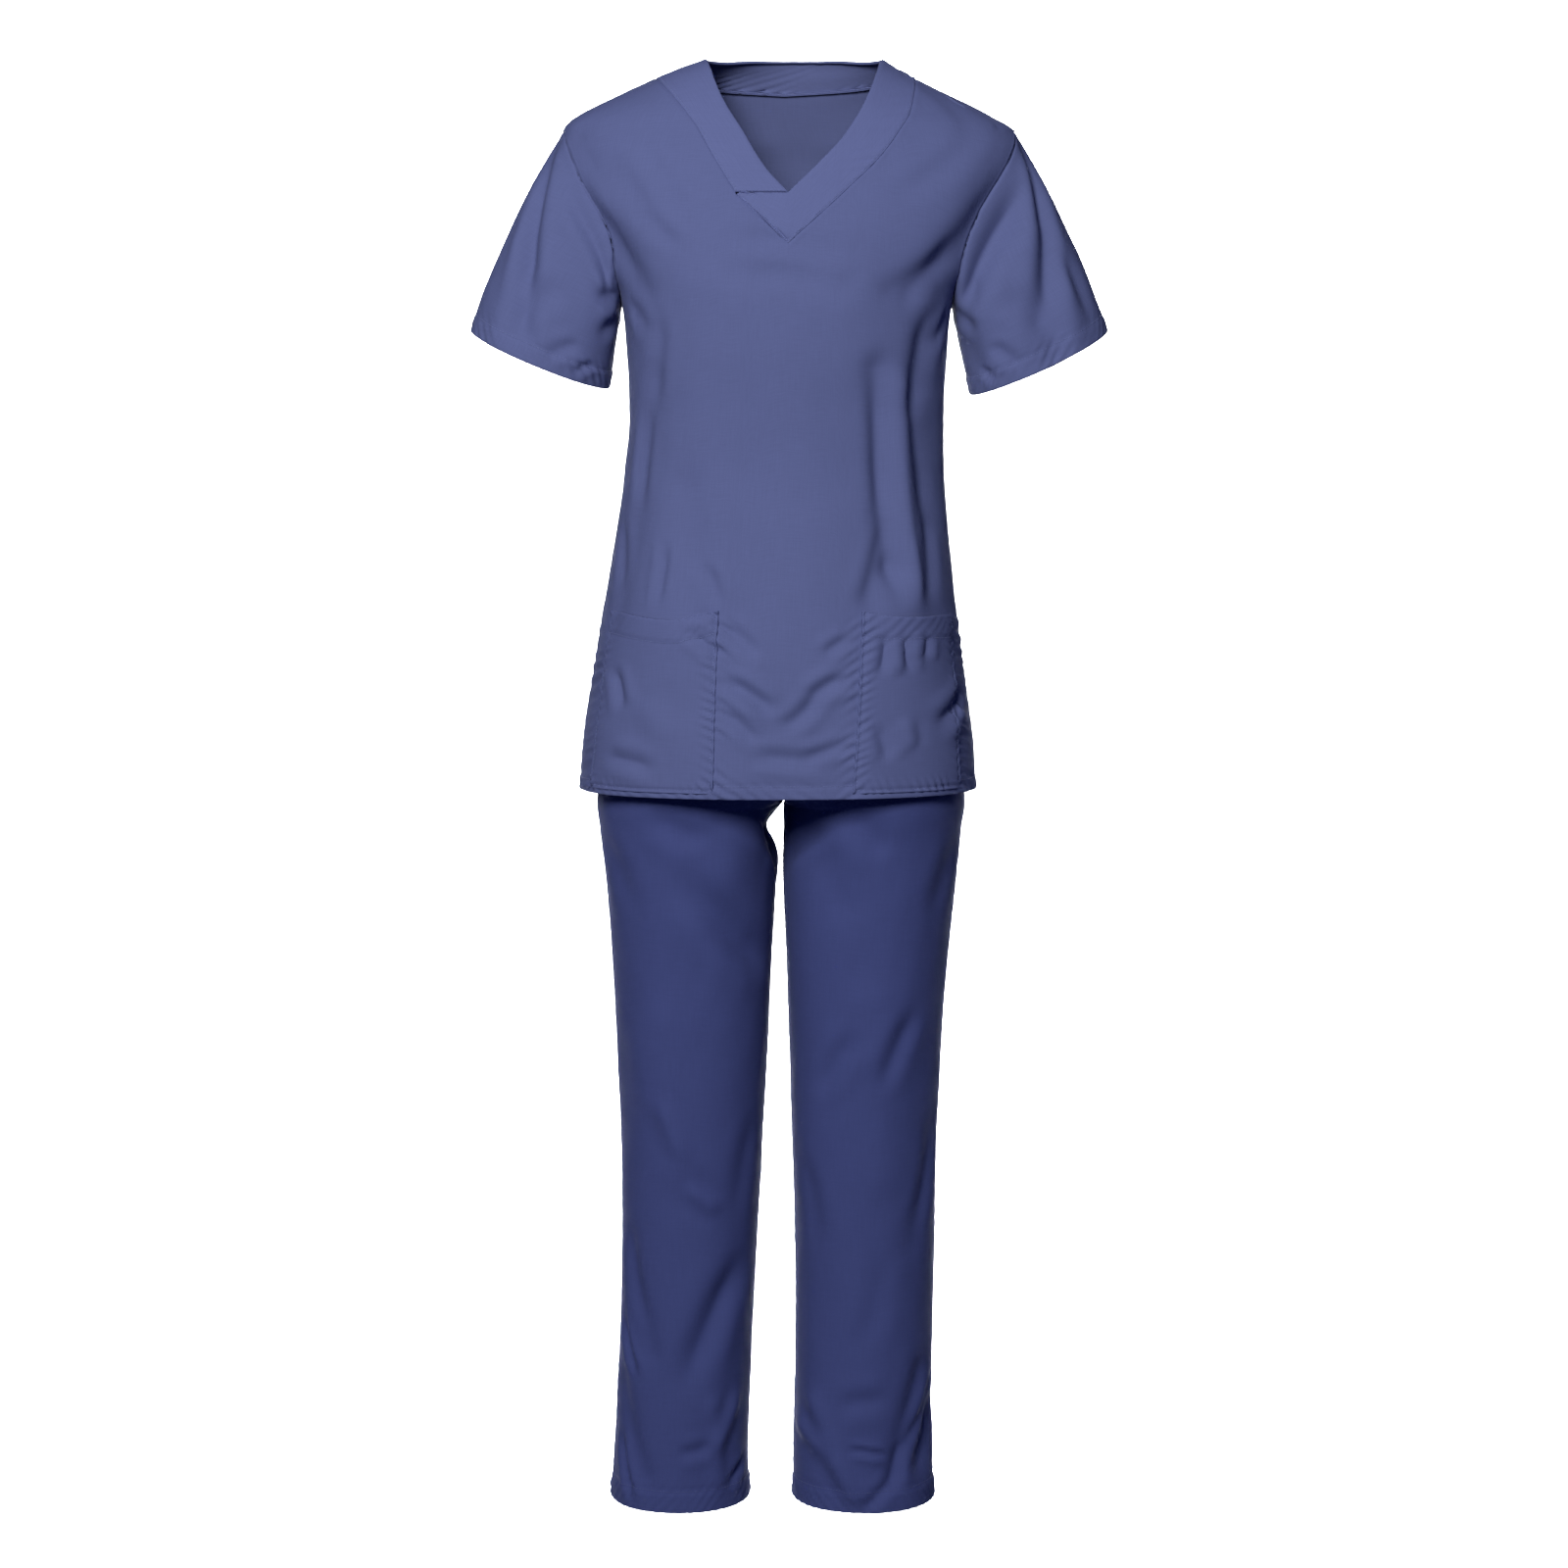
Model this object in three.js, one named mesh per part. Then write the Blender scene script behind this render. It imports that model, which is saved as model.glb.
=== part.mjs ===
// Medical scrubs: a short-sleeved V-neck top over straight trousers, in the hollow form they have when worn.
// Millimetres. +Z is up, the front faces -Y and +X is the wearer's left.
// The origin is the middle of the neck, level with the points where the shoulder seams reach the neck.
import * as THREE from 'three';

// Driving sizes
const CLOTH = 1.6;
const BAND_CLOTH = 2.2;
const BAND_PROUD = 0.5;
const CASING_CLOTH = 3.0;
const SEAM_GAP = 0.3;
const EDGE_INSET = 0.16;
const POCKET_CLEAR = 1.1;
const CASING_GAP = 0.5;
const OUTLINE_GAP = 0.4;
const MIDDLE_SEAM_HALF_GAP = 0.21;
const ARMHOLE_GAP = 0.6;
const FOLDED_SEAM_GAP = 0.8;
const FOLDED_LEAN = 0.2;

const TOP_HEM_Z = -680;
const SHOULDER_POINT_Z = -65;
const ARMPIT_Z = -222;
const NECK_SEAM_Z = -17;
const ARMHOLE_OPEN_FRONT = 30;
const ARMHOLE_OPEN_BACK = 33;
const ARMHOLE_SQUARE = 2.4;

const WAIST_Z = -380;
const CASING_DEEP = 35;
const CROTCH_Z = -696;
const TROUSER_HEM_Z = -1370;

// Mesh steps
const ARMHOLE_STEPS = 8;
const SIDE_STEPS = 13;
const SHOULDER_STEPS = 4;
const NECK_RIGHT_STEPS = 6;
const NECK_LEFT_STEPS = 8;
const LAP_STEPS = 4;
const NECK_BACK_STEPS = 18;
const BAND_WIDE_STEPS = 3;
const SLEEVE_STEPS = 10;
const RISE_STEPS = 9;
const LEG_STEPS = 16;
const LEG_AROUND_STEPS = 10;
const CASING_AROUND_STEPS = 48;
const CASING_DEEP_STEPS = 3;
const POCKET_STEPS = 10;
const COLUMN_SPREAD = 2.2;
const COLUMN_APART = 0.04;
const COLUMN_SETTLED = 0.06;
const SLEEVE_SETTLED = 1 / 6;
const RISE_SPREAD = 1.9;
const LEG_SPREAD = 1.25;

// A table is a list of named columns and one row of numbers for each section or fold.
const table = (names, rows) => rows.map((row) => (
  Object.fromEntries(names.map((name, i) => [name, row[i]]))));

// Level sections of the top: superellipses of width 2 * half and depth front + back.
const TORSO = table(['z', 'middle', 'half', 'front', 'back', 'square'], [
  [20, 10, 52, 42, 50, 2.0],
  [1, 7.5, 82, 50, 60, 2.0],
  [-10, 1, 106, 56, 64, 2.0],
  [-30, -2, 149, 66, 72, 2.05],
  [-52, -2, 194, 77, 80, 2.1],
  [-65, 2, 212, 83, 85, 2.2],
  [-80, 4, 217, 89, 91, 2.35],
  [-110, 4.5, 211, 98, 100, 2.5],
  [-145, 4, 196, 108, 108, 2.55],
  [-185, 2.5, 174, 116, 113, 2.5],
  [-222, 0.5, 156, 120, 114, 2.45],
  [-270, 0.5, 150.5, 119, 110, 2.4],
  [-330, 0, 148, 114, 103, 2.35],
  [-380, -2, 150.5, 112, 102, 2.35],
  [-440, -4, 157, 117, 108, 2.35],
  [-510, -6, 167, 125, 119, 2.35],
  [-590, -7.5, 179, 133, 128, 2.35],
  [-640, -8, 186, 137, 132, 2.35],
  [-680, -8, 188.5, 139, 135, 2.35],
]);

// Soft folds of the top. Angles run from the centre front, 90 at the wearer's left side, 180 at the back.
const TORSO_FOLDS = table(['from_angle', 'from_z', 'to_angle', 'to_z', 'width', 'depth'], [
  [33, -290, 37, -470, 15, -6],
  [37, -470, 30, -500, 12, -4],
  [43, -310, 46, -500, 15, 3.5],
  [58, -310, 60, -430, 22, -4.5],
  [49, -182, 36, -216, 13, -3.5],
  [-62, -75, -40, -140, 13, -3],
  [-54, -160, -53, -214, 15, -3],
  [-16, -204, 18, -216, 14, -2.5],
  [-52, -300, -60, -520, 18, -3],
  [-34, -400, -24, -510, 16, -2.5],
  [-8, -560, -12, -660, 20, 3],
  [12, -600, 20, -670, 16, -3],
  [140, -250, 132, -600, 22, -5],
  [156, -330, 150, -640, 20, 3.5],
  [-142, -240, -136, -560, 22, -5],
  [-158, -360, -160, -650, 20, 3.5],
  [120, -110, 140, -180, 16, -3],
  [-120, -105, -141, -190, 16, -3],
  [-172, -70, 170, -72, 12, -2],
]);
const TORSO_MM_PER_DEGREE = 2.6;

// The front neck band on the wearer's right, from the shoulder to the lap seam: inner edge and outer seam.
const BAND_RIGHT = table(['step', 'inner_x', 'inner_z', 'outer_x', 'outer_z'], [
  [0, -74.5, 1, -121, -17],
  [1, -60, -38, -91, -56],
  [2, -37.5, -78, -68.5, -92.5],
  [3, -17, -110, -54, -117],
  [3.7, 1.5, -130, -46, -130],
]);

// The wearer's left band runs from the shoulder to the V.
const BAND_LEFT = table(['step', 'inner_x', 'inner_z', 'outer_x', 'outer_z'], [
  [0, 89.5, 1, 120, -17],
  [1, 76, -36, 114, -54],
  [2, 58, -71.5, 88, -94],
  [3, 31, -102, 57, -126],
  [4, 1.5, -130.8, 1.5, -177],
]);
const LAP_END = { inner_x: -42, inner_z: -130.8, outer_x: -45, outer_z: -132.6 };

// Back of the neck: height of the band's top edge and of its seam against the angle from the centre back.
const BAND_BACK = table(['angle', 'inner_z', 'outer_z'], [
  [0, 7, -23],
  [30, 6.4, -19.5],
  [60, 3, -15.5],
  [90, 1, -17],
]);

// Cuffs: the outer and inner corners, half the depth, and how much lower the front edge hangs.
const CUFFS = {
  right: { outer: [-297, -249], inner: [-167, -303], halfDepth: 56, tilt: 0.17 },
  left: { outer: [302, -250], inner: [173, -309], halfDepth: 56, tilt: 0.17 },
};

// How far the sleeve stands out from a straight tube, on top and under the arm.
const SLEEVE_FULLNESS = table(['along', 'over', 'under'], [
  [0, 0, 0],
  [0.15, 4, 0.5],
  [0.4, 7, 1],
  [0.75, 5, 1],
  [1, 0, 0],
]);

// Folds of the sleeves. Angles run from the top of the arm, over the front at 90, to the armpit at 180.
const SLEEVE_FOLDS = table(['side', 'from_angle', 'from_along', 'to_angle', 'to_along', 'width', 'depth'], [
  [-1, 12, 0.02, 72, 0.85, 12, -5],
  [-1, 30, 0.1, 52, 0.95, 12, 2.5],
  [-1, 255, 0.1, 290, 0.8, 14, -4],
  [1, 20, 0.05, 78, 0.95, 12, -5],
  [1, 40, 0.15, 60, 0.9, 12, 2.5],
  [1, 250, 0.15, 285, 0.9, 14, -4],
]);
const SLEEVE_MM_PER_DEGREE = 1.15;
const SLEEVE_MM_PER_LENGTH = 160;

// Level sections of the trousers: outer and inner sides of each leg, and the depth either side of the seams.
// Above the crotch the inner side is the reach of a leg past the middle, where the other leg cuts it off.
const LEGS = table(
  ['z', 'middle', 'right_outer', 'right_inner', 'left_inner', 'left_outer', 'front', 'back', 'square'], [
    [-380, -2, -133, 129, -133, 129, 94, 88, 2.2],
    [-415, -2.5, -143, 138, -143, 138, 100, 94, 2.3],
    [-450, -3, -154.5, 146, -152, 148.5, 105, 98, 2.35],
    [-480, -3, -160.5, 150, -156, 153, 107, 103, 2.35],
    [-540, -3, -169, 148, -154, 160, 112, 110, 2.35],
    [-600, -3, -173, 112, -118, 165, 115, 116, 2.35],
    [-645, -3, -176, 58, -64, 168, 115, 116, 2.35],
    [-675, -2.5, -178.5, 22, -27, 170, 111, 111, 2.3],
    [-690, -2.2, -180, 4, -8.5, 170.6, 106, 107, 2.25],
    [-696, -2, -180, -2.2, -1.8, 170.6, 104, 106, 2.2],
    [-716, -3, -178, -5, -1.6, 168, 100, 103, 2.2],
    [-753, -5, -173.3, -8, -2.4, 163.9, 95, 99, 2.2],
    [-791, -6, -169.7, -10.5, -1.6, 159.4, 91, 95, 2.2],
    [-867, -7, -164.5, -15, 0.9, 152.3, 84, 88, 2.2],
    [-943, -7.5, -161.1, -18.8, 3.8, 147.9, 78, 82, 2.2],
    [-1020, -8.5, -158.6, -22.7, 5.7, 145.4, 73, 76, 2.15],
    [-1096, -9, -158.1, -26.5, 8.5, 143.9, 70, 71, 2.1],
    [-1174, -10.5, -159.4, -30.4, 9.5, 142.3, 67, 68, 2.1],
    [-1251, -13, -162.6, -34.2, 8.6, 141.7, 66, 66, 2.1],
    [-1329, -15, -166.8, -37.2, 6.7, 142, 66, 66, 2.1],
    [-1370, -14.5, -170, -35.5, 6.5, 144.3, 67, 67, 2.1],
  ]);

// Folds of the legs. Angles run from the front of each leg, 90 at its outer side, -90 at its inner side.
const LEG_FOLDS = table(['side', 'from_angle', 'from_z', 'to_angle', 'to_z', 'width', 'depth'], [
  [-1, -62, -700, -80, -742, 13, -7],
  [-1, -40, -712, -10, -790, 22, 3],
  [1, -50, -705, -20, -780, 20, -3],
  [-1, 55, -1110, 30, -1215, 14, -3],
  [-1, 62, -1255, 30, -1335, 12, -3],
  [-1, -28, -1270, -35, -1340, 12, 3],
  [1, 52, -1240, 22, -1330, 14, -5],
  [1, -45, -1270, -5, -1345, 13, 3.5],
  [1, 60, -1010, 40, -1110, 16, -3],
  [-1, 20, -900, 8, -1030, 24, 3],
  [1, 5, -880, 12, -1040, 24, 3],
  [-1, 150, -780, 195, -850, 20, -4],
  [1, 150, -790, 200, -870, 20, -4],
  [-1, 170, -1040, 205, -1100, 18, -3.5],
  [1, 175, -1050, 210, -1115, 18, -3.5],
  [-1, 140, -1240, 175, -1330, 14, -3.5],
  [1, 145, -1230, 170, -1325, 14, -3.5],
]);
const LEG_MM_PER_DEGREE = 1.35;

// Patch pockets: the mouth and foot of each, its inner edge and its outer edge near the side seam.
const POCKETS = {
  right: {
    mouth: table(['x', 'z'], [[-163, -511], [-100, -518], [-62, -509]]),
    foot: [-183, -66],
    foot_z: -675,
  },
  left: {
    mouth: table(['x', 'z'], [[70, -510], [100, -515], [153, -515]]),
    foot: [62, 162],
    foot_z: -675,
  },
};

const TOP_COLOUR = '#5c6595';
const BAND_COLOUR = '#626b9c';
const TROUSER_COLOUR = '#414a79';
const CLOTH_ROUGHNESS = 0.9;

const radians = THREE.MathUtils.degToRad;
const degrees = THREE.MathUtils.radToDeg;
const mix = THREE.MathUtils.lerp;

// Reads a column between its rows along a smooth curve that never overshoots them.
function read(rows, key, name, value) {
  const sorted = rows[0][key] < rows[1][key] ? rows : [...rows].reverse();
  const at = sorted.map((row) => row[key]);
  const v = sorted.map((row) => row[name]);
  const last = at.length - 1;
  const x = Math.min(Math.max(value, at[0]), at[last]);
  let i = 0;
  while (i < last - 1 && x > at[i + 1]) i += 1;
  const slope = (k) => (v[k + 1] - v[k]) / (at[k + 1] - at[k]);
  const tangent = (k) => {
    if (k === 0) return slope(0);
    if (k === last) return slope(last - 1);
    const before = slope(k - 1);
    const after = slope(k);
    return before * after <= 0 ? 0 : (2 * before * after) / (before + after);
  };
  const span = at[i + 1] - at[i];
  const t = (x - at[i]) / span;
  const t2 = t * t;
  const t3 = t2 * t;
  return (2 * t3 - 3 * t2 + 1) * v[i] + (t3 - 2 * t2 + t) * span * tangent(i)
    + (3 * t2 - 2 * t3) * v[i + 1] + (t3 - t2) * span * tangent(i + 1);
}

// Superellipse reach at an angle from the front, in units of the half sizes.
function reach(angle, square) {
  const a = radians(angle);
  return (Math.abs(Math.sin(a)) ** square + Math.abs(Math.cos(a)) ** square) ** (-1 / square);
}

// The angle at which a superellipse is a share of its half width away from the middle.
function angleOfShare(share, square) {
  const s = Math.min(Math.abs(share), 1) ** square;
  const angle = s >= 1 ? 90 : degrees(Math.atan((s / (1 - s)) ** (1 / square)));
  return Math.sign(share) * angle;
}

// The sum of soft ridges and troughs, each a bell-shaped bank along a straight line on the unrolled cloth.
function foldHeight(folds, angle, along, fromAlong, toAlong, mmPerDegree, mmPerAlong) {
  let height = 0;
  for (const fold of folds) {
    const middle = (fold.from_angle + fold.to_angle) / 2;
    const turn = Math.round((middle - angle) / 360) * 360;
    const px = (angle + turn - fold.from_angle) * mmPerDegree;
    const py = (along - fold[fromAlong]) * mmPerAlong;
    const dx = (fold.to_angle - fold.from_angle) * mmPerDegree;
    const dy = (fold[toAlong] - fold[fromAlong]) * mmPerAlong;
    const t = Math.min(Math.max((px * dx + py * dy) / (dx * dx + dy * dy), 0), 1);
    const away = Math.hypot(px - t * dx, py - t * dy);
    height += fold.depth * Math.exp(-((away / fold.width) ** 2));
  }
  return height;
}

// The middle, depths and squareness of a table's section at a height.
function section(rows, z) {
  const names = ['middle', 'front', 'back', 'square'];
  return Object.fromEntries(names.map((name) => [name, read(rows, 'z', name, z)]));
}

// A point of a section: out from the middle by the superellipse, then by the folds along the same ray.
function sectionPoint(angle, z, { middle, half, front, back, square }, lift, side) {
  const a = radians(angle);
  const k = reach(angle, square);
  const deep = Math.cos(a) > 0 ? front : back;
  const ray = new THREE.Vector2(half * k * Math.sin(a), -deep * k * Math.cos(a));
  ray.setLength(ray.length() + lift);
  return new THREE.Vector3(middle + side * ray.x, ray.y, z);
}

function torsoPoint(angle, z) {
  const lift = foldHeight(TORSO_FOLDS, angle, z, 'from_z', 'to_z', TORSO_MM_PER_DEGREE, 1);
  const half = read(TORSO, 'z', 'half', z);
  return sectionPoint(angle, z, { ...section(TORSO, z), half }, lift, 1);
}

function torsoAngle(x, z) {
  const share = (x - read(TORSO, 'z', 'middle', z)) / read(TORSO, 'z', 'half', z);
  return angleOfShare(share, read(TORSO, 'z', 'square', z));
}

function legHalf(side, z) {
  const outer = read(LEGS, 'z', side < 0 ? 'right_outer' : 'left_outer', z);
  const inner = read(LEGS, 'z', side < 0 ? 'right_inner' : 'left_inner', z);
  return { middle: (outer + inner) / 2, half: (side * (outer - inner)) / 2 };
}

function legPoint(side, angle, z) {
  const folds = LEG_FOLDS.filter((fold) => fold.side === side);
  const lift = foldHeight(folds, angle, z, 'from_z', 'to_z', LEG_MM_PER_DEGREE, 1);
  return sectionPoint(angle, z, { ...section(LEGS, z), ...legHalf(side, z) }, lift, side);
}

// The outward normal of a form at an angle and height, from points close by on either side.
const PROBE_ANGLE = 0.4;
const PROBE_Z = 1;
function normalOf(form, angle, z) {
  const across = form(angle + PROBE_ANGLE, z).sub(form(angle - PROBE_ANGLE, z));
  const down = form(angle, z + PROBE_Z).sub(form(angle, z - PROBE_Z));
  return across.cross(down).normalize();
}

// A closed wall between an outer and an inner grid of points, rows by columns. A tube joins its last column
// to its first.
function wall(outer, inner, tube = false) {
  const rows = outer.length;
  const columns = outer[0].length;
  const points = [...outer.flat(), ...inner.flat()];
  const inside = rows * columns;
  const index = [];
  const quad = (a, b, c, d) => index.push(a, b, c, a, c, d);
  const spans = tube ? columns : columns - 1;
  for (let i = 0; i < rows - 1; i += 1) {
    for (let j = 0; j < spans; j += 1) {
      const a = i * columns + j;
      const b = i * columns + ((j + 1) % columns);
      const c = b + columns;
      const d = a + columns;
      quad(a, b, c, d);
      index.push(inside + a, inside + c, inside + b, inside + a, inside + d, inside + c);
    }
  }
  for (let j = 0; j < spans; j += 1) {
    const next = (j + 1) % columns;
    const foot = (rows - 1) * columns;
    quad(next, j, inside + j, inside + next);
    quad(foot + j, foot + next, inside + foot + next, inside + foot + j);
  }
  if (!tube) {
    for (let i = 0; i < rows - 1; i += 1) {
      const a = i * columns;
      const b = a + columns - 1;
      quad(a, a + columns, inside + a + columns, inside + a);
      quad(b + columns, b, inside + b, inside + b + columns);
    }
  }
  let volume = 0;
  for (let i = 0; i < index.length; i += 3) {
    const [a, b, c] = [points[index[i]], points[index[i + 1]], points[index[i + 2]]];
    volume += a.dot(b.clone().cross(c));
  }
  if (volume < 0) index.reverse();
  const geometry = new THREE.BufferGeometry();
  const numbers = points.flatMap((p) => [p.x, p.y, p.z]);
  geometry.setAttribute('position', new THREE.Float32BufferAttribute(numbers, 3));
  geometry.setIndex(index);
  geometry.computeVertexNormals();
  return geometry;
}

// A wall on a form, from a grid of { angle, z } and the heights of its two faces over the form.
function wallOn(form, grid, outwards, tube = false, over = 0, thick = CLOTH) {
  const faces = [over, over - thick].map((height) => grid.map((row) => row.map((spot) => {
    const normal = spot.across ?? normalOf(form, spot.angle, spot.z).multiplyScalar(outwards);
    return (spot.point ?? form(spot.angle, spot.z)).clone().addScaledVector(normal, height);
  })));
  return wall(faces[0], faces[1], tube);
}

const range = (steps) => Array.from({ length: steps + 1 }, (unused, i) => i / steps);

// How far short of a seam a panel stops, in degrees, where the form is a given depth.
const inset = (depth) => degrees(EDGE_INSET / depth);

// The armhole: a squarish loop between the shoulder point and the armpit, as an opening round from the side.
function armholeSpot(part, back) {
  const a = Math.PI * part;
  const middle = (SHOULDER_POINT_Z + ARMPIT_Z) / 2;
  const half = (SHOULDER_POINT_Z - ARMPIT_Z) / 2;
  const power = 2 / ARMHOLE_SQUARE;
  const z = middle + half * Math.sign(Math.cos(a)) * Math.abs(Math.cos(a)) ** power;
  const open = (back ? ARMHOLE_OPEN_BACK : ARMHOLE_OPEN_FRONT) * Math.abs(Math.sin(a)) ** power;
  return { z, angle: 90 - open };
}

// How far a point at an angle lies from the middle, as a share of the half width.
function shareOfAngle(angle, z) {
  return reach(angle, read(TORSO, 'z', 'square', z)) * Math.sin(radians(angle));
}

// The armhole's edge on the front and back panels: how far its spots lie from the middle.
const ARMHOLE_EDGES = [false, true].map((back) => range(ARMHOLE_STEPS).map((part) => {
  const { z, angle } = armholeSpot(part, back);
  return { z, across: shareOfAngle(angle, z) * read(TORSO, 'z', 'half', z) };
}));

// The angle at which a panel stops short of the side or shoulder seam.
const seamAngle = (z, back) => 90 - inset(read(TORSO, 'z', back ? 'back' : 'front', z));

// How far across a body panel reaches at a height, as a share of the half width: to the armhole, straight
// from spot to spot, or else to the side or shoulder seam.
function panelShare(z, back) {
  const full = shareOfAngle(seamAngle(z, back), z);
  if (z >= SHOULDER_POINT_Z || z <= ARMPIT_Z) return full;
  const edge = ARMHOLE_EDGES[back ? 1 : 0];
  const below = edge.findIndex((spot) => spot.z < z);
  const part = (z - edge[below].z) / (edge[below - 1].z - edge[below].z);
  const across = mix(edge[below].across, edge[below - 1].across, part);
  return Math.min(full, across / read(TORSO, 'z', 'half', z));
}

// Rows down a body panel as shares of its length at the side: through the armhole, then to the hem.
const SIDE_LENGTH = SHOULDER_POINT_Z - TOP_HEM_Z;
const PANEL_ROWS = [
  ...range(ARMHOLE_STEPS).map((part) => (SHOULDER_POINT_Z - armholeSpot(part, false).z) / SIDE_LENGTH),
  ...range(SIDE_STEPS).slice(1).map((part) => mix((SHOULDER_POINT_Z - ARMPIT_Z) / SIDE_LENGTH, 1, part)),
];

const bandAt = (band, step) => ({
  inner: new THREE.Vector2(read(band, 'step', 'inner_x', step), read(band, 'step', 'inner_z', step)),
  outer: new THREE.Vector2(read(band, 'step', 'outer_x', step), read(band, 'step', 'outer_z', step)),
});

// The stations of each front band, from the shoulder to its end.
const RIGHT_STATIONS = range(NECK_RIGHT_STEPS).map((part) => (
  bandAt(BAND_RIGHT, part * BAND_RIGHT.at(-1).step)));
const LEFT_STATIONS = [
  ...range(NECK_LEFT_STEPS).map((part) => bandAt(BAND_LEFT, part * BAND_LEFT.at(-1).step)),
  ...range(LAP_STEPS).slice(1).map((part) => {
    const point = BAND_LEFT.at(-1);
    const lerp = (name) => mix(point[name], LAP_END[name], part);
    return { inner: new THREE.Vector2(lerp('inner_x'), lerp('inner_z')),
      outer: new THREE.Vector2(lerp('outer_x'), lerp('outer_z')) };
  }),
];

// A spot on the front of the top from its place in the front view. The first lies on the shoulder seam.
function frontSpot(flat, onSeam, side) {
  const z = flat.y;
  const limit = seamAngle(z, false);
  const angle = onSeam ? side * limit : torsoAngle(flat.x, z);
  return { angle: Math.max(-limit, Math.min(limit, angle)), z };
}

// The neckline of the front panel: the bands' outer seams, a seam gap further out.
function frontNeckline() {
  const beyond = ({ inner, outer }, onSeam, side) => {
    const away = outer.clone().sub(inner).setLength(OUTLINE_GAP);
    return frontSpot(outer.clone().add(away), onSeam, side);
  };
  const right = RIGHT_STATIONS.map((station, i) => beyond(station, i === 0, -1));
  const left = LEFT_STATIONS.map((station, i) => beyond(station, i === 0, 1));
  return [...right, ...left.reverse()];
}

// The neckline of the back panel, from the wearer's left to the right, as angles from the centre back.
function backNeckline() {
  return range(NECK_BACK_STEPS).map((part) => {
    const angle = mix(-90, 90, part);
    const z = read(BAND_BACK, 'angle', 'outer_z', Math.abs(angle)) - SEAM_GAP;
    const limit = seamAngle(z, true);
    return { angle: Math.max(-limit, Math.min(limit, angle)), z };
  });
}

// A body panel: each column runs from the shoulder seam or neckline to the hem, spreading evenly as it falls.
// Its place across is a share of the panel's half width at that height.
function bodyPanel(neckline, back, centre) {
  const shoulder = range(SHOULDER_STEPS).slice(0, -1);
  const seam = (part) => mix(SHOULDER_POINT_Z, NECK_SEAM_Z, part);
  const tops = [
    ...shoulder.map((part) => ({ z: seam(part), share: -1 })),
    ...neckline.map(({ angle, z }) => ({ z, share: shareOfAngle(angle, z) / panelShare(z, back) })),
    ...shoulder.map((part) => ({ z: seam(part), share: 1 })).reverse(),
  ];
  const middle = SHOULDER_STEPS + centre;
  const ends = tops.map((unused, j) => shareOfAngle(90 * (j <= middle
    ? -1 + j / middle
    : (j - middle) / (tops.length - 1 - middle)), TOP_HEM_Z));
  return PANEL_ROWS.map((row) => tops.map((top, j) => {
    const z = mix(top.z, TOP_HEM_Z, row);
    const spread = 1 - (1 - row) ** COLUMN_SPREAD;
    const fromEdge = Math.min(j, tops.length - 1 - j);
    const most = 1 - COLUMN_APART * fromEdge * Math.min(1, row / COLUMN_SETTLED);
    const share = Math.max(-most, Math.min(most, mix(top.share, ends[j], spread)));
    const angle = angleOfShare(share * panelShare(z, back), read(TORSO, 'z', 'square', z));
    return { angle: back ? 180 - angle : angle, z };
  }));
}

// The spots round the armhole where a sleeve's rim lies: down the front edge and up the back.
function armholeRim(side) {
  const spots = [];
  range(ARMHOLE_STEPS).forEach((part) => spots.push({ ...armholeSpot(part, false), back: false }));
  range(ARMHOLE_STEPS).slice(1, -1).reverse().forEach((part) => {
    spots.push({ ...armholeSpot(part, true), back: true });
  });
  return spots.map(({ z, angle, back }) => {
    const round = side * Math.min(angle, seamAngle(z, back));
    return { z, angle: back ? 180 - round : round };
  });
}

function cuffPoint(cuff, part) {
  const a = 2 * Math.PI * part;
  const middle = [0, 1].map((i) => (cuff.outer[i] + cuff.inner[i]) / 2);
  const along = [0, 1].map((i) => (cuff.outer[i] - cuff.inner[i]) / 2);
  const y = -cuff.halfDepth * Math.sin(a);
  return new THREE.Vector3(middle[0] + along[0] * Math.cos(a), y,
    middle[1] + along[1] * Math.cos(a) + cuff.tilt * y);
}

// A sleeve without its thickness: straight lines from the armhole to the cuff, filled out and folded.
function sleeveGrid(side) {
  const cuff = side < 0 ? CUFFS.right : CUFFS.left;
  const rim = armholeRim(side).map(({ angle, z }) => torsoPoint(angle, z));
  const count = rim.length;
  const ends = rim.map((unused, k) => cuffPoint(cuff, k / count));
  const centre = (points) => points.reduce((sum, p) => sum.add(p), new THREE.Vector3()).divideScalar(count);
  const top = centre(rim);
  const foot = centre(ends);
  const folds = SLEEVE_FOLDS.filter((fold) => fold.side === side);
  return range(SLEEVE_STEPS).map((along) => rim.map((start, k) => {
    const point = start.clone().lerp(ends[k], along);
    const angle = (360 * k) / count;
    const under = (1 - Math.cos(radians(angle))) / 2;
    const fullness = (name) => read(SLEEVE_FULLNESS, 'along', name, along);
    const full = mix(fullness('over'), fullness('under'), under);
    const lift = foldHeight(folds, angle, along, 'from_along', 'to_along',
      SLEEVE_MM_PER_DEGREE, SLEEVE_MM_PER_LENGTH);
    const out = point.clone().sub(top.clone().lerp(foot, along)).normalize();
    const hold = Math.min(1, along / SLEEVE_SETTLED);
    return point.addScaledVector(out, full + lift * hold);
  }));
}

// The normal of a tube grid at one of its points, from its neighbours round and along.
function tubeNormal(grid, i, k) {
  const count = grid[0].length;
  const up = grid[Math.max(i - 1, 0)][k];
  const down = grid[Math.min(i + 1, grid.length - 1)][k];
  const before = grid[i][(k - 1 + count) % count];
  const after = grid[i][(k + 1) % count];
  const middle = grid[i].reduce((sum, p) => sum.add(p), new THREE.Vector3()).divideScalar(count);
  const normal = after.clone().sub(before).cross(down.clone().sub(up)).normalize();
  return normal.dot(grid[i][k].clone().sub(middle)) < 0 ? normal.negate() : normal;
}

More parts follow.
